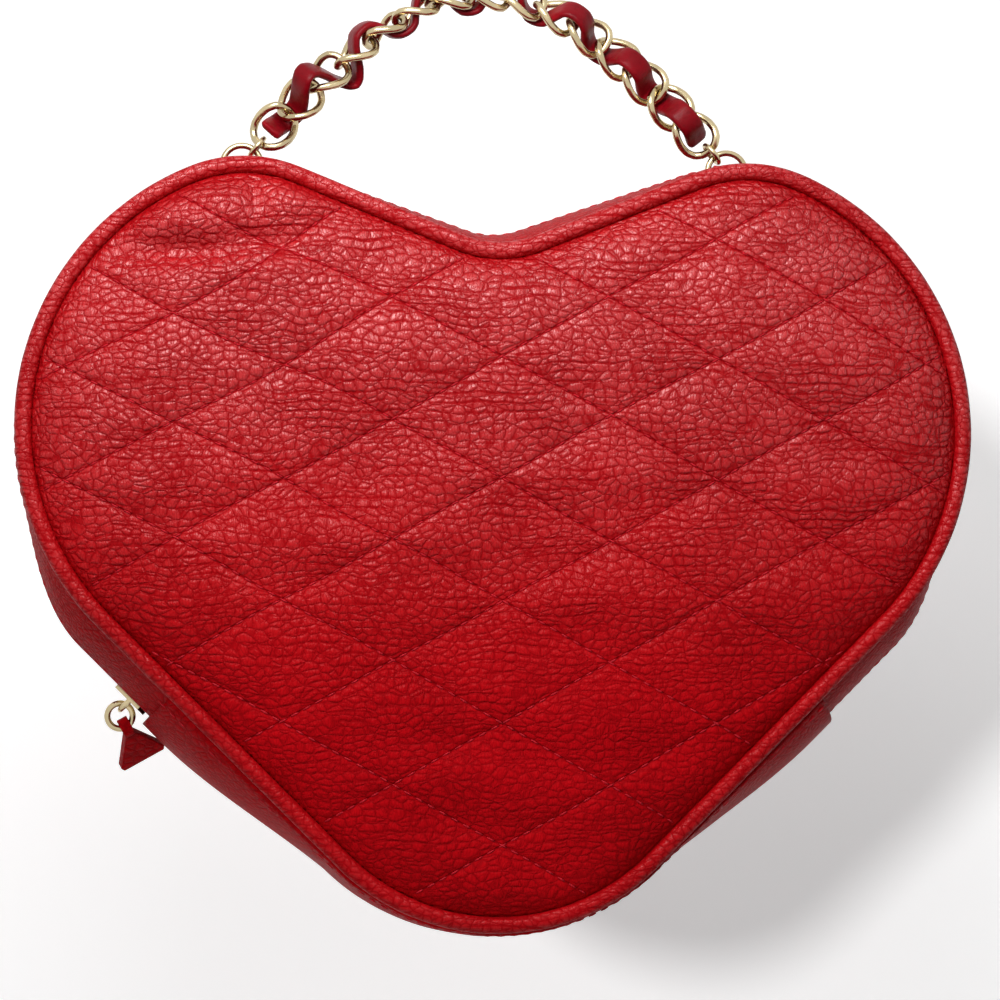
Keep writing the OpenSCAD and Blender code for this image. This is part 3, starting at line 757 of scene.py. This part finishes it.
def smooth_leather(name, colour):
    """Smooth leather with fine wrinkles, painted shade in them, and a soft gloss."""
    g = new_graph(name)
    here = g.place()
    wrinkle = g.noise(here, 700.0, 4.0, 0.6)
    broad = g.noise(here, 90.0, 3.0)
    tint = g.shades(g.ranged(broad, 0.3, 0.7), colour, 0.72, 1.12)
    # Painted shade where the wrinkles lie low
    tint = g.blend(g.ranged(wrinkle, 0.35, 0.5) * 0.4 + 0.6, rgba(shade(colour, 0.4)), tint)
    normal = g.bump(wrinkle, 0.12 * MM)
    roughness = g.ranged(broad, 0.3, 0.7, 0.34, 0.48)
    leather = g.shader(base_color=tint, roughness=roughness, normal=normal, specular_IOR_level=0.14)
    return g.finish(leather)


def woven_cloth(name, colour, thread, twill=False):
    """Cloth: two sets of threads that pass over and under each other."""
    g = new_graph(name)
    here = g.place((1, 0.9, 1))
    parts = []
    for direction in ("X", "Z"):
        bands = "DIAGONAL" if twill else direction
        wave = g.add(
            "ShaderNodeTexWave", {"wave_type": "BANDS", "bands_direction": bands},
            {"Vector": here, "Scale": 0.32 / (thread * MM), "Distortion": 0.6, "Detail": 1.0}, output="Fac",
        )
        parts.append(wave)
    weave = parts[0] * 0.5 + parts[1] * 0.5
    broad = g.noise(here, 60.0, 3.0)
    # Painted highlight on the raised threads and painted shade where the weave lies low
    tint = g.shades(g.ranged(weave, 0.2, 0.8), colour, 0.55, 1.15)
    tint = g.blend(g.ranged(broad, 0.35, 0.7) * 0.25, tint, rgba(shade(colour, 0.6)))
    roughness = g.ranged(broad, 0.2, 0.8, 0.75, 0.9)
    normal = g.bump(weave, 0.1 * MM)
    return g.finish(g.shader(base_color=tint, roughness=roughness, normal=normal, specular_IOR_level=0.05))


def plated_metal(name):
    """Pale gold plating with rubbed patches, lighter and darker at random, and small scratches."""
    g = new_graph(name)
    here = g.place()
    rubbed = g.noise(here, 180.0, 3.0)
    scratch = g.noise(g.place((1, 1, 9)), 900.0)
    tint = g.shades(g.ranged(rubbed, 0.35, 0.7), colours().gold, 0.82, 1.05)
    roughness = g.ranged(rubbed, 0.3, 0.75, 0.14, 0.3) + g.ranged(scratch, 0.55, 0.75) * 0.08
    normal = g.bump(scratch, 0.012 * MM)
    return g.finish(g.shader(base_color=tint, metallic=1.0, roughness=roughness, normal=normal))


def moulded_plastic(name):
    """Moulded plastic of the zip's teeth."""
    g = new_graph(name)
    flow = g.noise(g.place(), 320.0)
    tint = g.shades(g.ranged(flow, 0.3, 0.7), colours().tooth, 0.8, 1.1)
    roughness = g.ranged(flow, 0.3, 0.7, 0.26, 0.4)
    normal = g.bump(flow, 0.04 * MM)
    return g.finish(g.shader(base_color=tint, roughness=roughness, normal=normal, specular_IOR_level=0.2))


def sewing_thread(name):
    """Twisted thread in the leather's colour."""
    g = new_graph(name)
    twist = g.noise(g.place(), 2400.0)
    tint = g.shades(g.ranged(twist, 0.3, 0.7), colours().thread, 0.7, 1.25)
    roughness = g.ranged(twist, 0.2, 0.8, 0.5, 0.7)
    normal = g.bump(twist, 0.06 * MM)
    return g.finish(g.shader(base_color=tint, roughness=roughness, normal=normal, specular_IOR_level=0.15))


PAPER_GLOW = 0.4


def stage_paper(name):
    """A plain pale surface that can't be seen from behind."""
    g = new_graph(name)
    marks = g.noise(g.place(), 3.0)
    tint = g.shades(g.ranged(marks, 0.3, 0.7), colours().floor, 0.99, 1)
    seen = g.add("ShaderNodeLightPath", output="Is Camera Ray")
    for ray in ("Is Glossy Ray", "Is Transmission Ray"):
        seen = seen.sum("MAXIMUM", seen, g.add("ShaderNodeLightPath", output=ray))
    glow = g.blend(seen, (0, 0, 0, 1), rgba((PAPER_GLOW,) * 3))
    paper = g.shader(
        base_color=tint, roughness=0.9, specular_IOR_level=0.1, emission_color=glow, emission_strength=1
    )
    behind = g.add("ShaderNodeNewGeometry", output="Backfacing")
    return g.finish(g.mixed(behind, paper, g.add("ShaderNodeBsdfTransparent")))


MAKERS = {
    "quilted leather": lambda name: pebbled_leather(name, sewn=True),
    "pebbled leather": lambda name: pebbled_leather(name, 0.9, 0.45, (0.0, 0.12)),
    "piping leather": lambda name: pebbled_leather(name, 0.85, 0.5, (0.2, 0.9), across=True),
    "lace leather": lambda name: smooth_leather(name, colours().lace),
    "lining cloth": lambda name: woven_cloth(name, colours().lining, 0.5),
    "zip tape": lambda name: woven_cloth(name, colours().tape, 0.45, twill=True),
    "gold plating": plated_metal,
    "tooth plastic": moulded_plastic,
    "sewing thread": sewing_thread,
    "stage paper": stage_paper,
}


def material(name):
    return bpy.data.materials.get(name) or MAKERS[name](name)


# Quilted panels

PANEL_EDGE = 1.6
PANEL_THICK = 2.2
DOME_DEPTH = 29
# Height on the heart at which two lines cross in its middle
QUILT_START = 17.35
# How far beside a line the padding has risen, and how steeply it does
PAD_REACH = 5
PAD_POWER = 1.7
# A form fades in from this far inside the seam, over this many millimetres
QUILT_FADE = (2.5, 7)
UNEVEN_FADE = (2, 12)
FOLDS_FADE = (4, 12)
DENT_FADE = (1.5, 4)
SEWN_FADE = (1.8, 3)
RIPPLE_FADE = (3, 10)
# Unevenness: its height, the length of its waves, and the noise's seed
BROAD = (0.7, 42, 1)
FINE = (0.3, 15, 2)
FOLDS = (1.3, 13, 4)
SLIP_X = (1.1, 30, 7)
SLIP_Z = (1.0, 34, 8)
RIPPLE = (0.35, 12, 11)
# The shallow folds are drawn out sideways. They begin at this height and are full this far below it
FOLDS_DRAWN = 0.35
FOLDS_TOP = 30
FOLDS_RISE = 60
# How far the lines sag on the left lobe, and from where to where that grows
SAG = 5
SAG_X = (-25, -75)
SAG_Z = (-25, 35)
# Soft dents and swellings of the front panel: x, z, how far out, half width, half height
DENTS = [
    (-73, 57, 2.2, 9, 4),
    (-50, 57, 2.2, 9, 4),
    (-61, 57, -2.0, 3, 6),
    (-60, 47, -2.0, 9, 3.5),
    (-80, 51.5, 2.2, 15, 4),
    (-79, 43, -3.9, 17, 3.8),
    (-62, 39, 1.0, 14, 4),
    (-95, 30, -0.8, 9, 6),
    (-30, 40, -0.8, 12, 7),
    (0, 30, 0.9, 20, 9),
    (-36, -12, -1.3, 14, 6),
    (-28, -26, 0.8, 16, 6),
    (34, -18, -0.9, 18, 6),
    (62, 20, 0.8, 18, 12),
    (86, -6, -0.8, 10, 8),
    (-70, -8, 0.8, 14, 10),
    (-50, -38, -1.0, 12, 5),
    (20, -42, 0.9, 20, 8),
    (12, -64, 0.9, 22, 10),
    (-20, -78, -0.9, 16, 5),
    (-6, -96, -0.7, 16, 8),
]
# Past this reach a dent is too shallow to see
DENT_REACH = 8


def fade(inset, where):
    start, width = where
    return smooth((inset - start) / width)


def uneven(x, z, kind):
    height, wave, seed = kind
    return height * wander(x, 0, z, wave, seed)


def quilt_bend(x, z):
    """How far the leather there has slipped from an even quilting: it sags on the left lobe."""
    across = smooth((x - SAG_X[0]) / (SAG_X[1] - SAG_X[0]))
    up = smooth((z - SAG_Z[0]) / (SAG_Z[1] - SAG_Z[0]))
    return uneven(x, z, SLIP_X), uneven(x, z, SLIP_Z) + SAG * across * up


def quilt_lines(x, z):
    """Places in the two sets of slanting lines: whole numbers lie on a line."""
    s = sizes()
    slip_x, slip_z = quilt_bend(x, z)
    across = (x + slip_x) * MM / s.quilt_column
    up = (z + slip_z - QUILT_START) * MM / s.quilt_row
    return (across + up) / 2, (across - up) / 2


def line_distance(u):
    """Millimetres from the nearest line of one set."""
    s = sizes()
    per_mm = math.hypot(MM / s.quilt_column, MM / s.quilt_row) / 2
    return abs(u - round(u)) / per_mm


def panel_relief(x, z, inset, dents):
    """How far the padded leather stands out of its plain dome."""
    s = sizes()
    u, v = quilt_lines(x, z)
    near = min(line_distance(u), line_distance(v))
    pad = 1 - math.exp(-((near / PAD_REACH) ** PAD_POWER))
    lift = fade(inset, QUILT_FADE) * (s.quilt_pillow * pad - s.quilt_groove) / MM
    lift += fade(inset, UNEVEN_FADE) * (uneven(x, z, BROAD) + uneven(x, z, FINE))
    low = smooth((FOLDS_TOP - z) / FOLDS_RISE)
    lift += fade(inset, FOLDS_FADE) * low * uneven(x * FOLDS_DRAWN, z, FOLDS)
    for cx, cz, out, half_w, half_h in dents:
        reach = ((x - cx) / half_w) ** 2 + ((z - cz) / half_h) ** 2
        if reach < DENT_REACH:
            lift += fade(inset, DENT_FADE) * out * math.exp(-reach)
    return lift


def dome_share(inset):
    t = min(1, max(0, (inset - PANEL_EDGE) / DOME_DEPTH))
    return math.sqrt(1 - (1 - t) ** 2)


def panel_out(x, z, inset, dents):
    """Distance of the leather's surface from the bag's middle plane."""
    return SEAM_HALF + PANEL_CROWN * dome_share(inset) + panel_relief(x, z, inset, dents)


# Points of a sheet that are nearer than this, in millimetres, are one point
SAME_SHEET_POINT = 0.05
# A point this share of a step outside the sheet's edge is still drawn in to it
RIM_SHARE = 0.8


def heart_sheet(step, edge, out_at, dents):
    """A grid cut to the heart, its rim drawn to the outline, and out_at gives how far out it lies."""
    low_x, high_x = min(s[0] for s in OUTLINE), max(s[0] for s in OUTLINE)
    low_z, high_z = min(s[1] for s in OUTLINE), max(s[1] for s in OUTLINE)
    across, up = round((high_x - low_x) / step), round((high_z - low_z) / step)
    bm = bmesh.new()
    bmesh.ops.create_grid(bm, x_segments=across, y_segments=up, size=0.5)
    sewn = bm.verts.layers.float.new("sewn")
    outside = []
    for v in bm.verts:
        x, z = mix(low_x, high_x, v.co.x + 0.5), mix(low_z, high_z, v.co.y + 0.5)
        inset, s = inset_at(x, z)
        if inset < edge - RIM_SHARE * step:
            outside.append(v)
            continue
        if inset < edge:
            x, z = s[0] - s[2] * edge, s[1] - s[3] * edge
            inset = edge
        v[sewn] = fade(inset, SEWN_FADE)
        v.co = (x, -out_at(x, z, inset, dents), z)
    bmesh.ops.delete(bm, geom=outside, context="VERTS")
    quilt = bm.loops.layers.uv.new("quilt")
    for face in bm.faces:
        for loop in face.loops:
            loop[quilt].uv = quilt_lines(loop.vert.co.x, loop.vert.co.z)
    bmesh.ops.remove_doubles(bm, verts=bm.verts, dist=SAME_SHEET_POINT)
    return bm


def placed(bm, back):
    """Moves a sheet from the heart's own middle to the shared frame, facing front or back."""
    for v in bm.verts:
        v.co = to_frame(v.co.x, -v.co.y if back else v.co.y, v.co.z)
    bmesh.ops.recalc_face_normals(bm, faces=bm.faces)
    outward = sum(f.normal.y for f in bm.faces) * (1 if back else -1)
    if outward < 0:
        bmesh.ops.reverse_faces(bm, faces=bm.faces)
    return bm


def thicken(piece, thick):
    wall = piece.modifiers.new("wall", "SOLIDIFY")
    wall.thickness = thick * MM
    wall.offset = -1
    wall.use_rim = True


# Lines on each side of the middle one, and the step along a line as a share of its crossings
LINE_SPAN = 9
LINE_STEP = 0.02
# Heights between which a line is followed, and how often its slip is corrected
LINE_Z = (-130, 70)
SLIP_ROUNDS = 3
# Thread starts this far inside the seam, and lies this far out of the leather
THREAD_INSET = 2.8
THREAD_OUT = 0.05


def slipped(even_x, even_z):
    """Where a point of the even quilting lies on the sagging leather."""
    x, z = even_x, even_z
    for _ in range(SLIP_ROUNDS):
        slip_x, slip_z = quilt_bend(x, z)
        x, z = even_x - slip_x, even_z - slip_z
    return x, z


def line_stretches(which, line, side, dents):
    """The parts of one quilted line that lie inside the seam, as points on the leather."""
    s = sizes()
    stretches = [[]]
    count = int(2 * LINE_SPAN / LINE_STEP)
    for i in range(count + 1):
        other = mix(-LINE_SPAN, LINE_SPAN, i / count)
        u, v = (line, other) if which == 0 else (other, line)
        x = (u + v) * s.quilt_column / MM
        z = QUILT_START + (u - v) * s.quilt_row / MM
        if abs(x) > LOBE_X + SIDE_R or not LINE_Z[0] < z < LINE_Z[1]:
            continue
        x, z = slipped(x, z)
        inset, _ = inset_at(x, z)
        if inset > THREAD_INSET:
            out = panel_out(x, z, inset, dents) + THREAD_OUT
            stretches[-1].append(to_frame(x, side * out, z))
        elif stretches[-1]:
            stretches.append([])
    return stretches


def quilt_stitches(name, back, dents):
    """The thread in the slanting lines of a panel."""
    bm = bmesh.new()
    side = 1 if back else -1
    normal = Vector((0, side, 0))
    for which in (0, 1):
        for line in range(-LINE_SPAN, LINE_SPAN + 1):
            for points in line_stretches(which, line, side, dents):
                stitch_row(bm, points, [normal] * len(points))
    return piece_from(name, bm, "sewing thread")


def add_panels():
    step = sizes().panel_grid / MM
    for name, back, dents, nodes in (
        ("quilted_front", False, DENTS, ("front_panel", "front_panel_lower")),
        ("quilted_back", True, [], ("back_panel",)),
    ):
        sheet = heart_sheet(step, PANEL_EDGE, panel_out, dents)
        piece = piece_from(name, placed(sheet, back), "quilted leather")
        thicken(piece, PANEL_THICK)
        stand_for(piece, back, *nodes)
    follow(quilt_stitches("front_quilting_thread", False, DENTS), False)
    follow(quilt_stitches("back_quilting_thread", True, []), True)


# Linings

LINING_STEP = 3.0
LINING_EDGE = 2.6
LINING_BACK = 22.1
# Room between the lining and the inside of the leather
LINING_ROOM = 0.4
LINING_THICK = 0.5
# How much flatter than the leather's dome the lining hangs
LINING_SLACK = 1.8
GUSSET_LINING_HALF = 21
GUSSET_LINING_LIFT = -2.2
GUSSET_LINING_THICK = 0.6


def lining_out(x, z, inset, dents):
    """The lining hangs in soft ripples, and is pushed in where the leather is."""
    share = dome_share(inset)
    ripple = uneven(x, z, RIPPLE) * fade(inset, RIPPLE_FADE)
    loose = LINING_BACK + PANEL_CROWN * share - LINING_SLACK * share + min(0, ripple)
    return min(loose, panel_out(x, z, inset, dents) - PANEL_THICK - LINING_ROOM)


def add_linings():
    for name, back, dents, nodes in (
        ("front_lining_cloth", False, DENTS, ("front_lining", "front_lining_lower")),
        ("back_lining_cloth", True, [], ("back_lining",)),
    ):
        sheet = heart_sheet(LINING_STEP, LINING_EDGE, lining_out, dents)
        piece = piece_from(name, placed(sheet, back), "lining cloth")
        thicken(piece, LINING_THICK)
        stand_for(piece, back, *nodes)
    half = GUSSET_LINING_HALF
    lining = band(tip_run(ZIP_END_Z), -half, half, GUSSET_LINING_LIFT, GUSSET_LINING_THICK)
    piece = piece_from("gusset_lining_cloth", lining, "lining cloth")
    take_place(piece, "lower_gusset_lining", "bag")


# Piping and gusset


def add_piping():
    radius = sizes().piping_radius / MM
    for name, side, nodes in (
        ("front_piping_cord", -1, ("front_piping", "front_piping_lower")),
        ("back_piping_cord", 1, ("back_piping",)),
    ):
        bm = ring_cord(OUTLINE, side * PIPING_Y, radius)
        piece = piece_from(name, bm, "piping leather")
        stand_for(piece, side > 0, *nodes)


STRIP_EDGE = 6.5
STRIP_END = 24.7
STRIP_LIFT = 0.8
STRIP_PUCKER = 0.35
LEATHER_T = 1.6
LAP_LIFT = 2.7
LAP_PUCKER = 0.4
# How far from a strip's edge its thread runs
THREAD_FROM_EDGE = 2.2


def gusset_stitches(name, run, y, lift):
    bm = bmesh.new()
    points, normals = [], []
    for x, z, nx, nz, swell in run:
        out = swell_at(swell, y) + lift
        points.append(to_frame(x + nx * out, y, z + nz * out))
        normals.append(Vector((nx, 0, nz)))
    stitch_row(bm, points, normals)
    return piece_from(name, bm, "sewing thread")


def add_gusset():
    zip_run = upper_run(ZIP_END_Z)
    for name, side, nodes in (
        ("front_zip_side", -1, ("front_zip_strip", "front_strip_lower")),
        ("rear_zip_side", 1, ("rear_zip_strip",)),
    ):
        bm = band(zip_run, side * STRIP_EDGE, side * STRIP_END, STRIP_LIFT, LEATHER_T, STRIP_PUCKER)
        piece = piece_from(name, bm, "pebbled leather")
        seam = side * (STRIP_EDGE + THREAD_FROM_EDGE)
        thread = gusset_stitches(name + "_thread", zip_run, seam, STRIP_LIFT)
        stand_for(piece, side > 0, *nodes)
        follow(thread, side > 0)
    lap = tip_run(ZIP_END_Z + LAP_LENGTH * LOW_OUT[0])
    bm = band(lap, -STRIP_END, STRIP_END, LAP_LIFT, LEATHER_T, LAP_PUCKER)
    piece = piece_from("lower_gusset_leather", bm, "pebbled leather")
    take_place(piece, "lower_gusset", "bag")
    for name, side in (("gusset_seam_thread_front", -1), ("gusset_seam_thread_back", 1)):
        seam = side * (STRIP_END - THREAD_FROM_EDGE)
        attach(gusset_stitches(name, lap, seam, LAP_LIFT), "bag")


# Zip

# The tape runs on between its teeth, almost to the middle of the zip
TAPE_INNER = 0.45
TAPE_OUTER = 12.9
TAPE_LIFT = -1.1
TAPE_T = 0.6
# On the right, where the slider never runs, the closed tapes meet
TAPE_MEET = 0.04
MEET_FROM = 10
# The whole of the rolled edge moves, and a little more
TAPE_EDGE = TAPE_T * 1.1
TOOTH_ROUND = 0.28
STOP_ROUND = 0.25
SLIDER_ROUND = 0.3


def close_tape(bm, side):
    """Brings the tape's inner edge to the middle of the zip, on the right side of the heart."""
    middle = to_frame(0, 0, 0)
    for vert in bm.verts:
        out, across, _ = (vert.co - middle) / MM
        if abs(across) < TAPE_INNER + TAPE_EDGE:
            vert.co.y -= side * (TAPE_INNER - TAPE_MEET) * smooth(out / MEET_FROM) * MM


def add_rounded(node, body, finish, width):
    """A hard CAD part with its edges rounded."""
    piece = piece_from(node + "_rounded", bevelled_copy(node, width), finish, False)
    take_place(piece, node, body)


def add_zip():
    tape_run = upper_run(ZIP_END_Z)
    for name, side, nodes in (
        ("front_zip_cloth", -1, ("front_zip_tape", "front_tape_lower")),
        ("rear_zip_cloth", 1, ("rear_zip_tape",)),
    ):
        bm = band(tape_run, side * TAPE_INNER, side * TAPE_OUTER, TAPE_LIFT, TAPE_T)
        close_tape(bm, side)
        piece = piece_from(name, bm, "zip tape")
        stand_for(piece, side > 0, *nodes)
    teeth = {"rear_zip_teeth": "bag", "front_zip_teeth": "front", "front_teeth_lower": "bag"}
    for node, body in teeth.items():
        add_rounded(node, body, "tooth plastic", TOOTH_ROUND)
    for node in ("zip_top_stop", "zip_bottom_stop"):
        add_rounded(node, "bag", "gold plating", STOP_ROUND)
    add_rounded("zip_slider", "slider", "gold plating", SLIDER_ROUND)


def dress_node(node, finish):
    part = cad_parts[node]
    if not part.material_slots:
        part.data.materials.append(material(finish))
    for slot in part.material_slots:
        slot.material = material(finish)


def add_tab(node, body, width):
    """A small leather tab with rounded edges."""
    bm = bevelled_copy(node, width, 3)
    take_place(piece_from(node + "_leather", bm, "pebbled leather"), node, body)


PULL_ROUND = 0.4


def add_pull():
    dress_node("pull_ring", "gold plating")
    add_tab("pull_tab", "pull_tab", PULL_ROUND)


# Strap

# Rounding draws a shape in, so it is swollen again by this much
LINK_SWELL = 0.12
LACE_SWELL = 0.3
TAB_ROUND = 0.25


def add_strap():
    for node in ("d_ring_left", "d_ring_right", "jump_ring_left", "jump_ring_right"):
        dress_node(node, "gold plating")
    for node in ("chain_left", "chain_top", "chain_right"):
        bm = smoothed_copy(node, LINK_SWELL)
        take_place(piece_from(node + "_links", bm, "gold plating"), node, "strap")
    bm = smoothed_copy("lace", LACE_SWELL)
    take_place(piece_from("woven_lace", bm, "lace leather"), "lace", "strap")
    for node in ("strap_tab_left", "strap_tab_right"):
        add_tab(node, "bag", TAB_ROUND)


# Stage

PHOTO_PIXELS = 1000
PIXELS_PER_MM = 4.0
LOBE_ROW = 427.4
SENSOR_WIDTH = 36
CAMERA_MM = 900
CAMERA_AZIMUTH = -6
CAMERA_ELEVATION = -3
WALL_Y = 250
WALL_HALF = 1600
FLOOR_Z = -600
FLOOR_HALF = 450
AMBIENT = 0.08
WINDOW_WATTS = 1.25
WINDOW_FROM = (-70, -290, 235)
WINDOW_TO = (0, 0, 20)
WINDOW_WIDTH = 0.24
WINDOW_HEIGHT = 0.16
SUN_STRENGTH = 1.25
SUN_FROM = (-330, -900, 100)
SUN_ANGLE = 5


def plain_sheet(name, matrix, half):
    bm = bmesh.new()
    bmesh.ops.create_grid(bm, x_segments=2, y_segments=2, size=half * MM, matrix=matrix)
    object_from(name, bm, "stage paper")


def aimed(name, data, location, way):
    """A lamp or camera that stands at a place and looks that way."""
    holder = linked(name, data)
    holder.location = location
    holder.rotation_euler = way.to_track_quat("-Z", "Y").to_euler()
    return holder


def lamp(name, kind, energy, location, target, seen_in_gloss=True, **settings):
    light = bpy.data.lights.new(name, kind)
    light.energy = energy
    for key, value in settings.items():
        setattr(light, key, value)
    aimed(name, light, location, target - location).visible_glossy = seen_in_gloss


def add_lamps():
    """A window high up on the left, and a low sun that throws the shadow to the right."""
    lamp(
        "window", "AREA", WINDOW_WATTS, to_frame(*WINDOW_FROM), to_frame(*WINDOW_TO),
        shape="RECTANGLE", size=WINDOW_WIDTH, size_y=WINDOW_HEIGHT,
    )
    lamp(
        "shadow sun", "SUN", SUN_STRENGTH, to_frame(*SUN_FROM), to_frame(0, 0, 0),
        angle=math.radians(SUN_ANGLE), seen_in_gloss=False,
    )


def add_world():
    """White all round for what is seen directly or mirrored, and faint for matt surfaces."""
    world = bpy.data.worlds.new("soft room")
    bpy.context.scene.world = world
    g = Graph(world)
    total = 0
    for ray, strength in (("Camera", 1.0), ("Transmission", 1.0), ("Glossy", 1.0), ("Diffuse", AMBIENT)):
        light = g.add("ShaderNodeLightPath", output=f"Is {ray} Ray") * strength
        total = light.sum("MAXIMUM", total, light)
    background = g.tree.nodes["Background"]
    g.fill(background.inputs["Strength"], total)
    g.fill(background.inputs["Color"], (1, 1, 1, 1))


def add_camera():
    """As the photograph was taken, true to scale at the front of the piping."""
    photo_mm = PHOTO_PIXELS / PIXELS_PER_MM
    aim_z = (LOBE_ROW - PHOTO_PIXELS / 2) / PIXELS_PER_MM
    aim = to_frame(0, -PIPING_Y - PIPING_CAD_R, aim_z)
    azimuth, elevation = math.radians(CAMERA_AZIMUTH), math.radians(CAMERA_ELEVATION)
    level = math.cos(elevation)
    back = Vector((math.sin(azimuth) * level, -math.cos(azimuth) * level, math.sin(elevation)))
    camera = bpy.data.cameras.new("camera")
    camera.sensor_width = SENSOR_WIDTH
    camera.lens = camera.sensor_width * CAMERA_MM / photo_mm
    bpy.context.scene.camera = aimed("camera", camera, aim + back * CAMERA_MM * MM, -back)


def add_stage():
    turned_up = Euler((math.pi / 2, 0, 0)).to_matrix().to_4x4()
    plain_sheet("wall", Matrix.Translation(to_frame(0, WALL_Y, 0)) @ turned_up, WALL_HALF)
    plain_sheet("floor", Matrix.Translation(to_frame(0, 0, FLOOR_Z)), FLOOR_HALF)
    add_world()
    add_lamps()
    add_camera()
    bpy.context.scene.view_settings.view_transform = "Standard"


# Operators


class PURSE_OT_panels(bpy.types.Operator):
    """Adds the two quilted panels and their thread"""

    bl_idname = "purse.panels"
    bl_label = "Quilted panels"

    def execute(self, context):
        add_panels()
        return {"FINISHED"}


class PURSE_OT_linings(bpy.types.Operator):
    """Adds the lining cloth"""

    bl_idname = "purse.linings"
    bl_label = "Linings"

    def execute(self, context):
        add_linings()
        return {"FINISHED"}


class PURSE_OT_piping(bpy.types.Operator):
    """Adds the piping round both seams"""

    bl_idname = "purse.piping"
    bl_label = "Piping"

    def execute(self, context):
        add_piping()
        return {"FINISHED"}


class PURSE_OT_gusset(bpy.types.Operator):
    """Adds the leather beside the zip and under the tip"""

    bl_idname = "purse.gusset"
    bl_label = "Gusset"

    def execute(self, context):
        add_gusset()
        return {"FINISHED"}


class PURSE_OT_zip(bpy.types.Operator):
    """Adds the tapes, teeth, stops and slider"""

    bl_idname = "purse.zip"
    bl_label = "Zip"

    def execute(self, context):
        add_zip()
        return {"FINISHED"}


class PURSE_OT_pull(bpy.types.Operator):
    """Adds the pull's ring and leather tab"""

    bl_idname = "purse.pull"
    bl_label = "Zip pull"

    def execute(self, context):
        add_pull()
        return {"FINISHED"}


class PURSE_OT_strap(bpy.types.Operator):
    """Adds the chain, its rings and tabs, and the woven lace"""

    bl_idname = "purse.strap"
    bl_label = "Strap"

    def execute(self, context):
        add_strap()
        return {"FINISHED"}


class PURSE_OT_stage(bpy.types.Operator):
    """Adds the floor, the wall, the lamps and the camera"""

    bl_idname = "purse.stage"
    bl_label = "Stage"

    def execute(self, context):
        add_stage()
        return {"FINISHED"}


OPERATORS = (
    PURSE_OT_panels,
    PURSE_OT_linings,
    PURSE_OT_piping,
    PURSE_OT_gusset,
    PURSE_OT_zip,
    PURSE_OT_pull,
    PURSE_OT_strap,
    PURSE_OT_stage,
)


class PURSE_PT_panel(bpy.types.Panel):
    """Lists the purse's sizes, colours and pieces"""

    bl_label = "Heart Purse"
    bl_space_type = "VIEW_3D"
    bl_region_type = "UI"
    bl_category = "Heart Purse"

    def draw(self, context):
        for group in (context.scene.purse_sizes, context.scene.purse_colours):
            for key in group.__annotations__:
                self.layout.prop(group, key)
        for operator in OPERATORS:
            self.layout.operator(operator.bl_idname)


CLASSES = (PurseSizes, PurseColours, *OPERATORS, PURSE_PT_panel)


def register():
    for cls in CLASSES:
        bpy.utils.register_class(cls)
    bpy.types.Scene.purse_sizes = bpy.props.PointerProperty(type=PurseSizes)
    bpy.types.Scene.purse_colours = bpy.props.PointerProperty(type=PurseColours)


def unregister():
    del bpy.types.Scene.purse_colours
    del bpy.types.Scene.purse_sizes
    for cls in reversed(CLASSES):
        bpy.utils.unregister_class(cls)


def main():
    register()
    bpy.ops.purse.panels()
    bpy.ops.purse.linings()
    bpy.ops.purse.piping()
    bpy.ops.purse.gusset()
    bpy.ops.purse.zip()
    bpy.ops.purse.pull()
    bpy.ops.purse.strap()
    bpy.ops.purse.stage()


if __name__ == "__main__":
    main()
